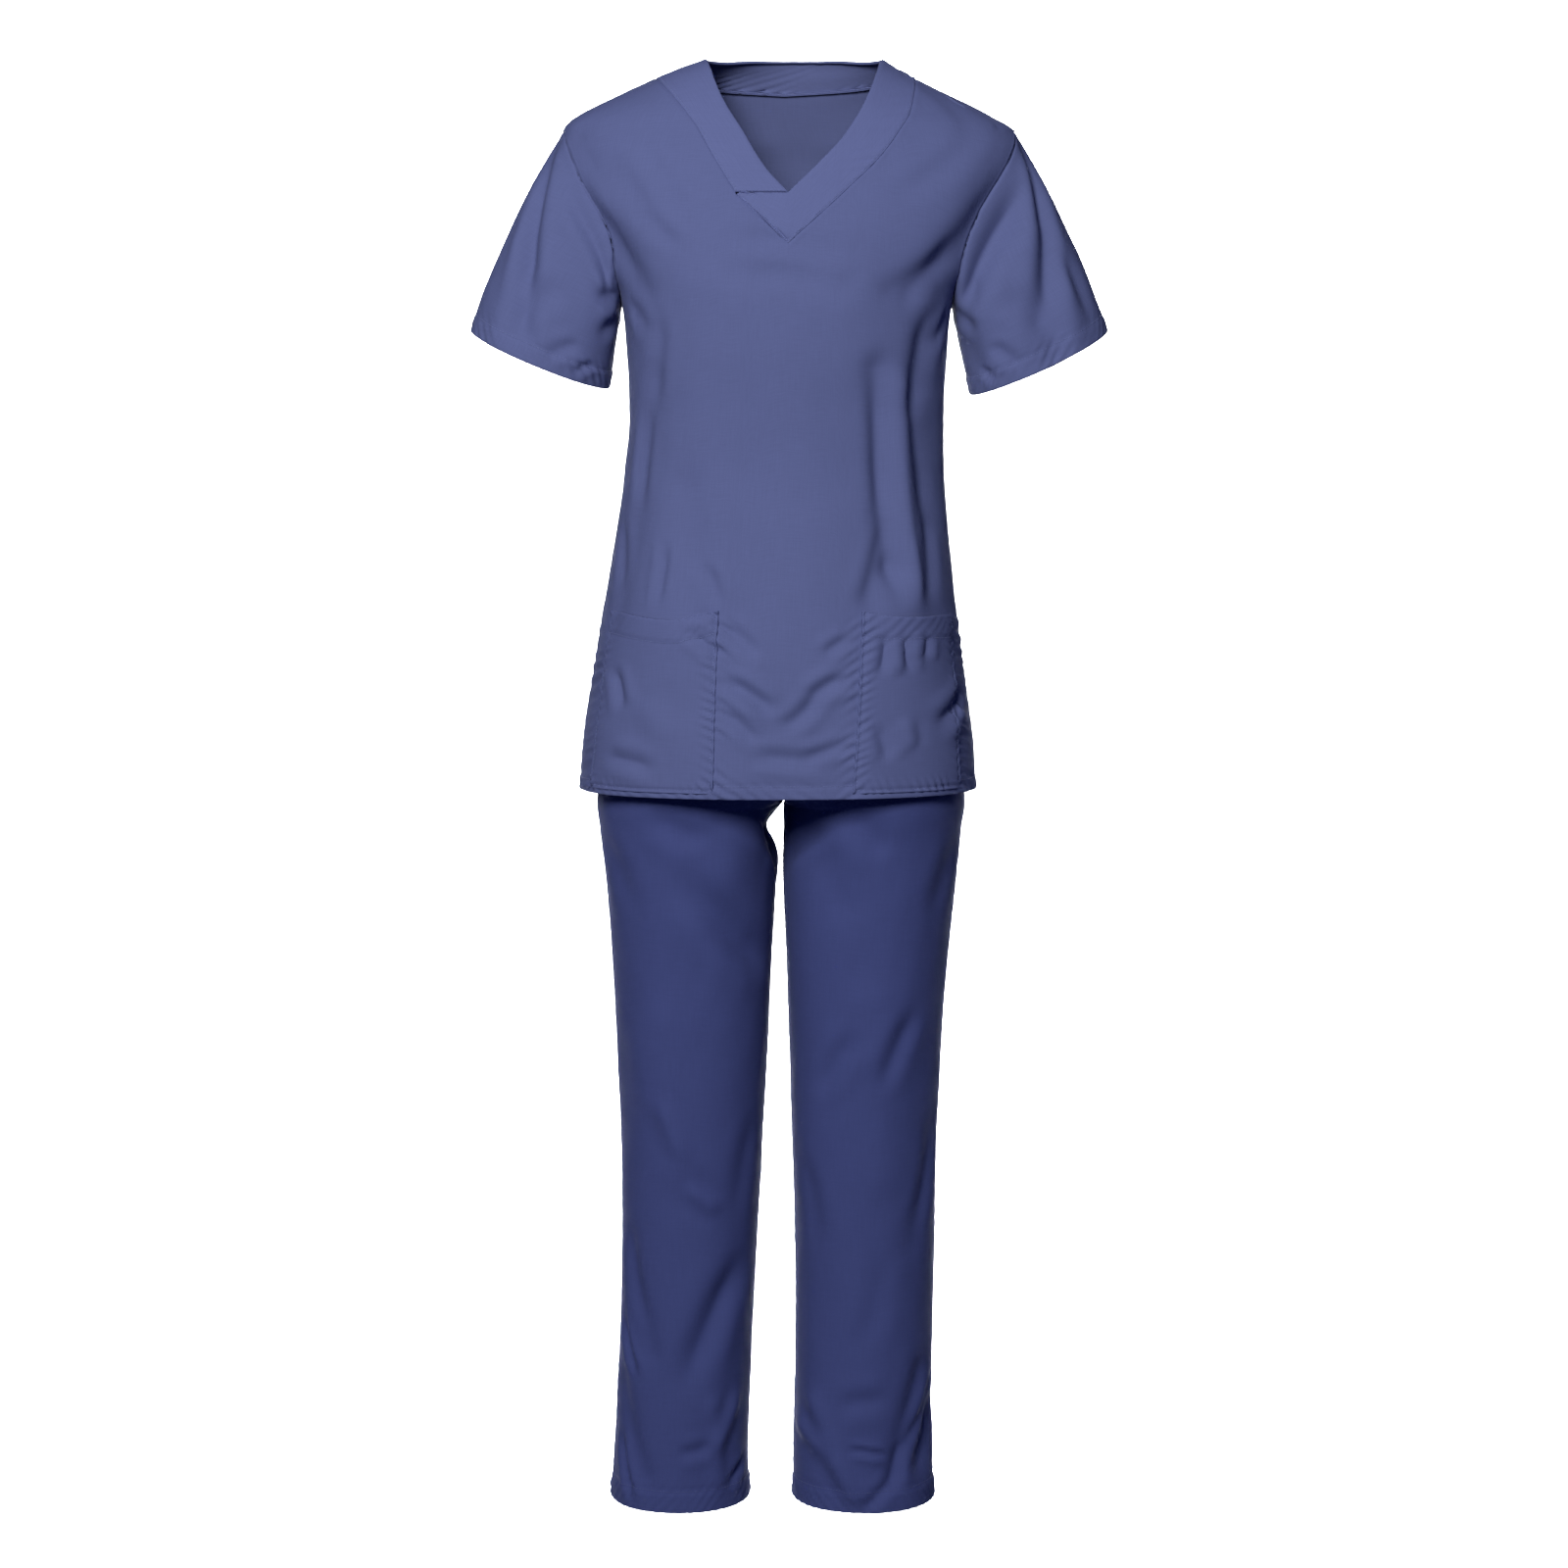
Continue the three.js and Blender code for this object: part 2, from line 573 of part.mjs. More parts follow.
// How the sleeve meets the body at each spot of the armhole. Both walls lean along the mean of their normals,
// but where the cloth folds back on itself under the arm each keeps its own. The gap opens halfway between.
function armholeJoin(side) {
  const grid = sleeveGrid(side);
  const rim = grid[0];
  const count = rim.length;
  const middle = rim.reduce((sum, p) => sum.add(p), new THREE.Vector3()).divideScalar(count);
  return armholeRim(side).map(({ angle, z }, k) => {
    const body = normalOf(torsoPoint, angle, z);
    const sleeve = tubeNormal(grid, 0, k);
    const tangent = rim[(k + 1) % count].clone().sub(rim[(k - 1 + count) % count]).normalize();
    const leave = tangent.clone().cross(body).normalize();
    if (leave.dot(middle.clone().sub(rim[k])) < 0) leave.negate();
    const follow = grid[1][k].clone().sub(rim[k]).projectOnPlane(tangent).normalize();
    const folded = body.dot(sleeve) < FOLDED_LEAN && follow.dot(body) > 0;
    const mean = body.clone().add(sleeve).normalize();
    return {
      body: folded ? body : mean,
      sleeve: folded ? sleeve : mean,
      away: leave.add(follow).setLength(folded ? FOLDED_SEAM_GAP : ARMHOLE_GAP),
    };
  });
}

const JOINS = { '-1': armholeJoin(-1), '1': armholeJoin(1) };

// The armhole edges of a body panel lean as the sleeves they meet.
function leanArmhole(grid, back) {
  const count = 2 * ARMHOLE_STEPS;
  for (let i = 0; i <= ARMHOLE_STEPS; i += 1) {
    const k = back ? (count - i) % count : i;
    grid[i][0].across = JOINS[-1][k].body.clone();
    grid[i].at(-1).across = JOINS[1][k].body.clone();
  }
}

function sleeveWall(side) {
  const grid = sleeveGrid(side);
  const joins = JOINS[side];
  const outer = grid.map((row, i) => row.map((p, k) => (
    i === 0 ? p.clone().add(joins[k].away) : p.clone())));
  const inner = outer.map((row, i) => row.map((p, k) => (
    p.clone().addScaledVector(i === 0 ? joins[k].sleeve : tubeNormal(grid, i, k), -CLOTH))));
  return wall(outer, inner, true);
}

function frontBand(stations, side) {
  const widths = range(BAND_WIDE_STEPS);
  const grid = stations.map(({ inner, outer }, i) => widths.map((w) => (
    frontSpot(inner.clone().lerp(outer, w), i === 0, side)
  )));
  return wallOn(torsoPoint, grid, 1, false, BAND_PROUD, BAND_CLOTH);
}

function backBand() {
  const grid = range(NECK_BACK_STEPS).map((part) => {
    const round = mix(-90, 90, part);
    const high = read(BAND_BACK, 'angle', 'inner_z', Math.abs(round));
    const low = read(BAND_BACK, 'angle', 'outer_z', Math.abs(round));
    return range(BAND_WIDE_STEPS).map((w) => {
      const z = mix(high, low, w);
      const limit = seamAngle(z, true);
      return { angle: 180 - Math.max(-limit, Math.min(limit, round)), z };
    });
  });
  return wallOn(torsoPoint, grid, 1, false, BAND_PROUD, BAND_CLOTH);
}

function pocketWall(pocket) {
  const { mouth, foot, foot_z: footZ } = pocket;
  const grid = range(POCKET_STEPS).map((down) => range(POCKET_STEPS).map((across) => {
    const top = mix(mouth[0].x, mouth.at(-1).x, across);
    const z = mix(read(mouth, 'x', 'z', top), footZ, down);
    const x = mix(top, mix(foot[0], foot[1], across), down);
    const angle = torsoAngle(x, z);
    const normal = normalOf(torsoPoint, angle, z);
    return { point: torsoPoint(angle, z), across: normal };
  }));
  return wallOn(torsoPoint, grid, 1, false, POCKET_CLEAR + CLOTH);
}

// Rows down a leg panel: closer together near the crotch, where its edge turns under the body.
const TROUSER_TOP_Z = WAIST_Z - CASING_DEEP - CASING_GAP;
const TROUSER_ROWS = [
  ...range(RISE_STEPS).map((part) => mix(CROTCH_Z, TROUSER_TOP_Z, (1 - part) ** RISE_SPREAD)),
  ...range(LEG_STEPS).slice(1).map((part) => mix(CROTCH_Z, TROUSER_HEM_Z, part ** LEG_SPREAD)),
];

// The angle of a leg panel's inner edge: the middle seam above the crotch, the inside leg seam below it.
function innerAngle(side, z, back) {
  const depth = read(LEGS, 'z', back ? 'back' : 'front', z);
  const limit = -90 + inset(depth);
  if (z <= CROTCH_Z) return limit;
  const { middle, half } = legHalf(side, z);
  const plane = read(LEGS, 'z', 'middle', z) + side * MIDDLE_SEAM_HALF_GAP;
  const share = (side * (plane - middle)) / half;
  return Math.max(limit, angleOfShare(share, read(LEGS, 'z', 'square', z)));
}

function legPanel(side, back) {
  const grid = TROUSER_ROWS.map((z) => {
    const from = innerAngle(side, z, back);
    const to = 90 - inset(read(LEGS, 'z', back ? 'back' : 'front', z));
    return range(LEG_AROUND_STEPS).map((part) => {
      const angle = mix(from, to, part);
      return { angle: back ? 180 - angle : angle, z };
    });
  });
  return wallOn((angle, z) => legPoint(side, angle, z), grid, side);
}

// The elastic casing: a plain ring round both legs' tops.
function casing() {
  const point = (angle, z) => {
    const half = (read(LEGS, 'z', 'left_outer', z) - read(LEGS, 'z', 'right_outer', z)) / 2;
    return sectionPoint(angle, z, { ...section(LEGS, z), half }, 0, 1);
  };
  const grid = range(CASING_DEEP_STEPS).map((part) => range(CASING_AROUND_STEPS).slice(0, -1).map((round) => (
    { angle: 360 * round, z: WAIST_Z - CASING_DEEP * part })));
  return wallOn(point, grid, 1, true, 0, CASING_CLOTH);
}

const group = new THREE.Group();

function add(name, geometry, colour) {
  const look = { color: colour, roughness: CLOTH_ROUGHNESS, metalness: 0 };
  const material = new THREE.MeshStandardMaterial(look);
  const mesh = new THREE.Mesh(geometry, material);
  mesh.name = name;
  group.add(mesh);
}

const front = bodyPanel(frontNeckline(), false, NECK_RIGHT_STEPS + 1 + LAP_STEPS);
leanArmhole(front, false);
add('top_front', wallOn(torsoPoint, front, 1), TOP_COLOUR);

const back = bodyPanel(backNeckline(), true, NECK_BACK_STEPS / 2);
leanArmhole(back, true);
add('top_back', wallOn(torsoPoint, back, 1), TOP_COLOUR);

add('sleeve_right', sleeveWall(-1), TOP_COLOUR);
add('sleeve_left', sleeveWall(1), TOP_COLOUR);
add('neckband_front_right', frontBand(RIGHT_STATIONS, -1), BAND_COLOUR);
add('neckband_front_left', frontBand(LEFT_STATIONS, 1), BAND_COLOUR);
add('neckband_back', backBand(), BAND_COLOUR);
add('pocket_right', pocketWall(POCKETS.right), TOP_COLOUR);
add('pocket_left', pocketWall(POCKETS.left), TOP_COLOUR);

add('trouser_front_right', legPanel(-1, false), TROUSER_COLOUR);
add('trouser_front_left', legPanel(1, false), TROUSER_COLOUR);
add('trouser_back_right', legPanel(-1, true), TROUSER_COLOUR);
add('trouser_back_left', legPanel(1, true), TROUSER_COLOUR);
add('waistband', casing(), TROUSER_COLOUR);

export default group;
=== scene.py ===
import math

import bpy
import numpy as np
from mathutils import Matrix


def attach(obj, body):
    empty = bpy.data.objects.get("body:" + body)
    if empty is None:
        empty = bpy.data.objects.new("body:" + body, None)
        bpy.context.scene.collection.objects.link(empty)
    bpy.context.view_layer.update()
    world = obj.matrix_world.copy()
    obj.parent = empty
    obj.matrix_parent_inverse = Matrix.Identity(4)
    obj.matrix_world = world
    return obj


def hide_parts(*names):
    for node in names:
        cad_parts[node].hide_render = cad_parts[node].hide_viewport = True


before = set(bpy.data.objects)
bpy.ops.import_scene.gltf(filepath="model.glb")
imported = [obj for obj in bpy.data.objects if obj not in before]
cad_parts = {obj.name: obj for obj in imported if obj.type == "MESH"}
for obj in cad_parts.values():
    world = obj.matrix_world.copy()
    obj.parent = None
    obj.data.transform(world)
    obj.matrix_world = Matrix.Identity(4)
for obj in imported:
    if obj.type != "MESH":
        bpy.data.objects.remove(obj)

bl_info = {
    "name": "Medical scrubs",
    "version": (1, 0, 0),
    "blender": (4, 5, 0),
    "location": "3D View > Sidebar > Scrubs",
    "description": "A short-sleeved V-neck top and straight trousers, worn form, sewn from woven cloth",
    "category": "Add Mesh",
}

MM = 0.001

# Real sizes of the two garments, in millimetres, as in the solids
TOP_HEM_Z = -680.0
SHOULDER_POINT_Z = -65.0
ARMPIT_Z = -222.0
ARMHOLE_OPEN = {"front": 30.0, "back": 33.0}
ARMHOLE_SQUARE = 2.4
WAIST_Z = -380.0
CASING_DEEP = 35.0
CASING_GAP = 0.5
CROTCH_Z = -696.0
TROUSER_HEM_Z = -1370.0

# The top is calm at the neck and wanders below it
CALM_FROM_Z = -20
CALM_OVER = 60

# Above this height the trousers are under the top: their creases end, and they lie a little deeper
TROUSERS_SHOWN_Z = CROTCH_Z + 26
TROUSERS_SHOWN_OVER = 30
UNDER_TOP = 1.2

# How far cloth stops short of a seam's own line
SEAM_INSET = 0.16
BAND_SEAM = 0.25
MIDDLE_SEAM = 0.21
CROTCH_CROWDING = 1.9

# How a body panel's columns fall from its top edge to the hem: the power by which they spread, how far each
# keeps from the edge, as a share for each column, and over what share of the fall that settles
COLUMN_SPREAD = 2.2
COLUMN_APART = 0.02
COLUMN_SETTLED = 0.04
COLUMNS_PER_MM = 0.075

# Columns of the solid's body panels: where the shoulder seams and the neckline meet, the lap and the middle
FRONT_COLUMNS = {"shoulder": 4, "lap": 10, "past_lap": 11, "middle": 15, "neck_end": 23, "end": 27}
BACK_COLUMNS = {"shoulder": 4, "middle": 13, "neck_end": 22, "end": 26}


def table(names, text):
    """Numbers under named columns, row after row, as one array for each column."""
    columns = names.split()
    values = np.array(text.split(), float).reshape(-1, len(columns))
    return dict(zip(columns, values.T))


# Columns of the tables of folds. A place is a height, or a share of the way from armhole to cuff
BANK = "from_angle from_place to_angle to_place width depth"
CREASE = "from_angle from_place to_angle to_place bow width depth ridge"

# Level sections of the top: superellipses of width 2 * half and depth front + back
TORSO = table("z middle half front back square", """
20 10 52 42 50 2.0
1 7.5 82 50 60 2.0
-10 1 106 56 64 2.0
-30 -2 149 66 72 2.05
-52 -2 194 77 80 2.1
-65 2 212 83 85 2.2
-80 4 217 89 91 2.35
-110 4.5 211 98 100 2.5
-145 4 196 108 108 2.55
-185 2.5 174 116 113 2.5
-222 0.5 156 120 114 2.45
-270 0.5 150.5 119 110 2.4
-330 0 148 114 103 2.35
-380 -2 150.5 112 102 2.35
-440 -4 157 117 108 2.35
-510 -6 167 125 119 2.35
-590 -7.5 179 133 128 2.35
-640 -8 186 137 132 2.35
-680 -8 188.5 139 135 2.35
""")

# Main folds of the top: soft banks. Angles run from the centre front, 90 at the wearer's left and 180 at the
# centre back
TORSO_BANKS = table(BANK, """
33 -290 37 -470 15 -6
37 -470 30 -500 12 -4
43 -310 46 -500 15 3.5
58 -310 60 -430 22 -4.5
49 -182 36 -216 13 -3.5
-62 -75 -40 -140 13 -3
-54 -160 -53 -214 15 -3
-16 -204 18 -216 14 -2.5
-52 -300 -60 -520 18 -3
-34 -400 -24 -510 16 -2.5
-8 -560 -12 -660 20 3
12 -600 20 -670 16 -3
140 -250 132 -600 22 -5
156 -330 150 -640 20 3.5
-142 -240 -136 -560 22 -5
-158 -360 -160 -650 20 3.5
120 -110 140 -180 16 -3
-120 -105 -141 -190 16 -3
-172 -70 170 -72 12 -2
""")

# Finer creases of the top, bowed sideways, with a low ridge on both flanks
TORSO_CREASES = table(CREASE, """
-49.5 -70 -38.5 -150 5 7 -2.6 0.6
-42.5 -60 -28.5 -168 6 8 -2.2 0.6
-40 -140 -32 -184 -3 8 -2.2 0.4
-66 -110 -54 -226 4 15 -5.0 0.2
-66 -222 -52 -262 4 8 -2.5 0.5
-45 -228 -55.5 -328 5 9 -2.6 0.4
-55.5 -312 -57 -424 -3 9 -3.2 0.4
-40.5 -440 -41 -512 3 5 -2.4 0.5
-26 -464 -19.5 -508 3 6 -2.2 0.5
-70 -420 -62 -500 5 8 -2.2 0.5
-24 -172 24 -191 4 9 -2.0 0.4
-14 -202 16 -212 3 10 -1.2 0.3
65 -30 44 -88 -5 8 -2.2 0.5
50 -60 24 -140 6 9 -1.8 0.5
64 -96 52 -232 -4 21 -7.0 0.15
58 -176 38 -244 -5 11 -3.4 0.3
54 -226 48 -344 2 15 -7.0 0.15
72 -234 58 -272 -3 7 -2.0 0.5
33.5 -280 36 -452 1.5 9 -2.8 0.3
36 -414 40 -512 1 8 -2.6 0.3
34.5 -430 26 -510 2 7 -2.2 0.4
39 -336 45 -480 1 8 2.6 0.2
44 -436 45.5 -512 0 8 2.6 0.2
46 -300 58 -446 2 12 -3.8 0.2
58 -416 52 -512 2 10 -3.0 0.3
-19 -518 -5 -554 2 6 -2.4 0.5
-18 -568 0 -605 3 6 -3.8 0.6
-17 -596 -5 -632 2 5 -2.6 0.5
23 -532 13 -552 -2 5 -2.4 0.5
22 -567 8 -593 -3 6 -3.4 0.6
13 -581 0 -619 3 6 -3.0 0.5
-10 -641 16 -649 2 7 -2.6 0.6
22 -626 6 -642 2 5 -2.2 0.5
-56 -560 -48 -606 3 6 -3.4 0.6
-55 -645 -33 -656 3 7 -2.8 0.6
-28 -527 -17 -553 2 5 -2.6 0.6
-31 -525 -18 -518 2 4 1.6 0.4
-44 -590 -30 -634 4 12 1.8 0.3
72 -580 46 -616 4 8 -4.0 0.6
33 -527 30 -572 2 5 -2.6 0.7
39 -529 41 -570 -2 5 -2.4 0.7
48 -529 46 -556 2 5 -2.0 0.7
28 -610 31 -650 2 6 -2.6 0.6
36.5 -604 38 -640 2 6 2.2 0.4
150 -118 121 -206 8 8 -2.6 0.5
-148 -122 -121 -212 -7 9 -2.8 0.5
164 -322 195 -342 8 9 -2.6 0.5
148 -348 178 -374 9 9 -2.3 0.5
-170 -358 -142 -384 -9 9 -2.5 0.5
128 -300 148 -356 6 9 -2.5 0.4
-130 -296 -150 -350 -6 9 -2.4 0.4
170 -480 176 -668 5 12 -3.0 0.4
-150 -520 -146 -672 4 10 -2.6 0.4
112 -420 106 -640 6 12 -3.0 0.4
-108 -400 -114 -640 -6 12 -3.1 0.4
176 -90 160 -150 6 9 -1.9 0.4
-170 -92 -158 -146 -6 9 -1.9 0.4
""")
TORSO_MM_PER_DEGREE = 2.6

BAND_RIGHT = table("step inner_x inner_z outer_x outer_z", """
0 -74.5 1 -121 -17
1 -60 -38 -91 -56
2 -37.5 -78 -68.5 -92.5
3 -17 -110 -54 -117
3.7 1.5 -130 -46 -130
""")
BAND_LEFT = table("step inner_x inner_z outer_x outer_z", """
0 89.5 1 120 -17
1 76 -36 114 -54
2 58 -71.5 88 -94
3 31 -102 57 -126
4 1.5 -130.8 1.5 -177
""")
LAP_END = {"inner_x": -42, "inner_z": -130.8, "outer_x": -45, "outer_z": -132.6}
BAND_BACK = table("angle inner_z outer_z", "0 7 -23  30 6.4 -19.5  60 3 -15.5  90 1 -17")

CUFFS = {
    -1: {"outer": (-297, -249), "inner": (-167, -303), "half_depth": 56, "tilt": 0.17},
    1: {"outer": (302, -250), "inner": (173, -309), "half_depth": 56, "tilt": 0.17},
}
SLEEVE_FULLNESS = table("along over under", """
0 0 0
0.15 4 0.5
0.4 7 1
0.75 5 1
1 0 0
""")

# Folds of the sleeves. Angles run from the top of the arm, over the front at 90, to the armpit at 180
SLEEVE_BANKS = {
    -1: table(BANK, """
12 0.02 72 0.85 12 -5
30 0.1 52 0.95 12 2.5
255 0.1 290 0.8 14 -4
"""),
    1: table(BANK, """
20 0.05 78 0.95 12 -5
40 0.15 60 0.9 12 2.5
250 0.15 285 0.9 14 -4
"""),
}
SLEEVE_CREASES = {
    -1: table(CREASE, """
22 0.04 74 0.76 3 10 -7.5 0.25
54 0.08 140 0.2 0 10 -4.5 0.3
150 0.03 104 0.4 -4 7 -3.4 0.5
168 0.06 126 0.6 -4 8 -3.0 0.5
92 0.48 62 0.92 4 8 -2.4 0.4
118 0.7 92 0.96 3 6 -2.0 0.5
140 0.78 118 0.97 3 5 -1.8 0.5
200 0.05 240 0.4 5 7 -2.8 0.5
215 0.2 262 0.66 5 8 -2.8 0.5
310 0.3 330 0.9 4 10 -2.0 0.4
"""),
    1: table(CREASE, """
20 0.04 90 0.88 2 11 -8.0 0.2
40 0.14 158 0.24 0 19 -14.0 0.05
44 0.5 34 0.95 3 9 -3.0 0.3
154 0.2 142 0.98 0 21 -4.5 0.05
170 0.05 124 0.54 -4 8 -3.2 0.5
100 0.42 76 0.9 4 8 -2.6 0.4
124 0.64 104 0.95 3 6 -2.0 0.5
146 0.76 128 0.96 3 5 -1.8 0.5
198 0.06 236 0.36 5 7 -2.6 0.5
220 0.24 268 0.7 5 8 -2.6 0.5
318 0.26 334 0.88 4 10 -1.9 0.4
"""),
}
SLEEVE_MM_PER_DEGREE = 1.15
SLEEVE_MM_PER_LENGTH = 160.0
SLEEVE_SETTLED = 1 / 6
SLEEVE_START = 0.003
SLEEVE_RADIUS = 70

# Level sections of the trousers: outer and inner sides of each leg, and the depth either side of the seams
LEGS = table("z middle right_outer right_inner left_inner left_outer front back square", """
-380 -2 -133 129 -133 129 94 88 2.2
-415 -2.5 -143 138 -143 138 100 94 2.3
-450 -3 -154.5 146 -152 148.5 105 98 2.35
-480 -3 -160.5 150 -156 153 107 103 2.35
-540 -3 -169 148 -154 160 112 110 2.35
-600 -3 -173 112 -118 165 115 116 2.35
-645 -3 -176 58 -64 168 115 116 2.35
-675 -2.5 -178.5 22 -27 170 111 111 2.3
-690 -2.2 -180 4 -8.5 170.6 106 107 2.25
-696 -2 -180 -2.2 -1.8 170.6 104 106 2.2
-716 -3 -178 -5 -1.6 168 100 103 2.2
-753 -5 -173.3 -8 -2.4 163.9 95 99 2.2
-791 -6 -169.7 -10.5 -1.6 159.4 91 95 2.2
-867 -7 -164.5 -15 0.9 152.3 84 88 2.2
-943 -7.5 -161.1 -18.8 3.8 147.9 78 82 2.2
-1020 -8.5 -158.6 -22.7 5.7 145.4 73 76 2.15
-1096 -9 -158.1 -26.5 8.5 143.9 70 71 2.1
-1174 -10.5 -159.4 -30.4 9.5 142.3 67 68 2.1
-1251 -13 -162.6 -34.2 8.6 141.7 66 66 2.1
-1329 -15 -166.8 -37.2 6.7 142 66 66 2.1
-1370 -14.5 -170 -35.5 6.5 144.3 67 67 2.1
""")

# Folds of the legs. Angles run from the front of each leg, 90 at its outer side, -90 at its inner side
LEG_BANKS = {
    -1: table(BANK, """
-62 -700 -80 -742 13 -7
-40 -712 -10 -790 22 3
55 -1110 30 -1215 14 -3
62 -1255 30 -1335 12 -3
-28 -1270 -35 -1340 12 3
20 -900 8 -1030 24 3
150 -780 195 -850 20 -4
170 -1040 205 -1100 18 -3.5
140 -1240 175 -1330 14 -3.5
"""),
    1: table(BANK, """
-50 -705 -20 -780 20 -3
52 -1240 22 -1330 14 -5
-45 -1270 -5 -1345 13 3.5
60 -1010 40 -1110 16 -3
5 -880 12 -1040 24 3
150 -790 200 -870 20 -4
175 -1050 210 -1115 18 -3.5
145 -1230 170 -1325 14 -3.5
"""),
}
LEG_CREASES = {
    -1: table(CREASE, """
-36 -690 -92 -754 2 9 -5.0 0.4
-28 -686 -84 -748 2 5 2.4 0.2
-56 -708 -128 -726 0 16 -14.0 0.1
8 -746 -72 -860 6 17 -8.5 0.2
26 -692 -16 -726 3 12 -3.6 0.3
66 -716 40 -800 -6 11 -2.2 0.4
26 -960 -2 -1036 3 10 2.8 0.3
6 -1048 -30 -1080 2 8 2.6 0.3
-58 -1114 2 -1262 8 16 -7.5 0.2
4 -1312 -31 -1305 2 6 -2.2 0.4
68 -1182 39 -1246 3 5 -3.4 0.6
62 -1292 37 -1368 4 5 -3.6 0.6
-24 -1320 -58 -1250 3 9 3.4 0.3
-41 -1348 -72 -1323 2 5 -2.8 0.5
60 -1096 34 -1196 6 9 -2.0 0.4
-60 -980 -40 -1100 5 12 -2.0 0.3
40 -880 30 -1010 4 16 2.0 0.2
160 -716 205 -770 -8 10 -3.0 0.5
140 -800 190 -842 -8 10 -2.8 0.5
165 -1030 215 -1070 8 10 -2.8 0.5
150 -1078 200 -1112 7 9 -2.6 0.5
130 -1250 160 -1336 5 9 -2.6 0.5
205 -1210 190 -1330 5 10 -2.4 0.4
"""),
    1: table(CREASE, """
-76 -754 -27 -704 4 10 -3.6 0.4
-22 -692 10 -742 3 12 -3.4 0.4
70 -716 44 -806 -6 11 -2.2 0.4
9 -968 38 -878 3 9 -3.4 0.4
-40 -972 -4 -900 3 10 -3.0 0.4
84 -1238 27 -1320 3 7 -4.0 0.2
33 -1300 22 -1354 1 7 -3.6 0.2
28 -1334 -6 -1370 1 6 -3.0 0.3
88 -1256 42 -1350 2 16 -8.0 0.1
-78 -1284 -25 -1320 2 9 3.6 0.3
-33 -1306 -4 -1370 2 9 3.6 0.3
-17 -1309 23 -1317 2 3.5 -2.4 0.7
-27 -1269 23 -1261 3 9 -2.2 0.4
64 -1000 40 -1104 6 10 -2.2 0.4
-58 -1020 -42 -1130 5 12 -1.9 0.3
12 -1110 -6 -1220 6 12 -1.6 0.3
160 -720 206 -776 -8 10 -3.0 0.5
142 -806 192 -850 -8 10 -2.8 0.5
168 -1036 216 -1080 8 10 -2.8 0.5
148 -1086 200 -1120 7 9 -2.6 0.5
132 -1240 160 -1330 5 9 -2.6 0.5
204 -1206 192 -1326 5 10 -2.4 0.4
"""),
}
LEG_MM_PER_DEGREE = 1.35

POCKETS = {
    "right": {"mouth": table("x z", "-163 -511  -100 -518  -62 -509"), "foot": (-183, -66)},
    "left": {"mouth": table("x z", "70 -510  100 -515  153 -515"), "foot": (62, 162)},
}
POCKET_FOOT_Z = -675.0
POCKET_CLEAR = 1.0
TURNING_OUT = 0.35
TURNING_DEEP = 3.0
CASING_THICK = 2.2

# The sleeve's seam allowance: how far past the rim and how deep under the body each of its rows lies
ALLOWANCE = ((5.0, 2.6), (0.0, 2.2))

# Stitched lines, in millimetres from the edge
BAND_STITCH = 2.0
BACK_BAND_STITCH = 7.5
LAP_STITCH = 0.9
POCKET_STITCH = 3.0

# How cloth wanders: sine waves of mixed lengths, and the heights and lengths of the broad and the fine ones
DRIFT_WAVES = 16
DRIFT_SPREAD = (0.7, 1.5)
DRIFT_FULL = 5.0
WANDER = ((0.6, 80), (0.22, 30))
CREASE_FADE = 0.35
RIDGE_AWAY = 1.9

# What sewing does beside an edge is given as three numbers: height, distance from the edge, and width. A seam
# has a groove as deep as it is given, a swell and ripples
SEAM_DEEP = 0.7
SEAM_GROOVE = 1.4
SEAM_SWELL = (0.25, 4, 3)
SEAM_RIPPLE = (0.3, 0, 9)
SEAM_PITCH = 17
SEAM_SLANT = 0.5
NECK_SEAM_DEEP = 0.3

# A hem: how proud it stands and over what width that ends, its stitched groove and its edge. The middle and
# width of its ripples are shares of its depth
HEM_PROUD = 0.6
HEM_ENDS = 0.6
HEM_ENDS_OVER = 1.6
HEM_GROOVE = (-0.8, 0, 1.5)
HEM_EDGE = (-0.5, 0, 1.1)
HEM_RIPPLES = 1.3
HEM_RIPPLE_AT = 0.55
HEM_RIPPLE_WIDE = 0.7
HEM_PITCH = 12
# The top's hem ripples more within this distance of the middle, where no pocket lies on it
HEM_RIPPLES_SIDE = 0.9
HEM_RIPPLES_MORE = 1.3
HEM_FREE_HALF = 60
HEM_FREE_OVER = 10

# Ripples beside stitched lines: height, middle, width, pitch and slant
PANEL_RIPPLE = (2.4, 4, 8, 11, 0.8)
POCKET_RIPPLE = (1.9, 5, 7, 9, 0.7)
PANEL_GROOVE = (-0.2, 0, 1.6)
POCKET_EDGE = (-0.2, 0, 1.0)
POCKET_GROOVE = (-0.9, 3, 1.3)
POCKET_HEM_RIPPLES = 0.5
POCKET_GAPE = 3.6
POCKET_GAPE_DOWN = 38
POCKET_SAG = 1.1
PANEL_RIPPLES_FROM = 14

# The neck band: how it swells, its edges, and how strongly each piece puckers
BAND_SWELL = 0.5
BAND_INNER_EDGE = (-0.6, 0, 1.2)
BAND_OUTER_EDGE = (-0.3, 0, 1.2)
BAND_END = (-0.1, 0, 1.2)
BAND_PUCKERS = {"front_right": 0.2, "front_left": 1.5, "back": 1.0}
BAND_PITCH = 15
BAND_SLANT = 0.9
BAND_PUCKER_AT = 8
BAND_PUCKER_WIDE = 17

# The casing's gathers
GATHERS = 0.7
GATHERS_PITCH = 7
CASING_IN = 0.6
CASING_MM_PER_DEGREE = 2.2

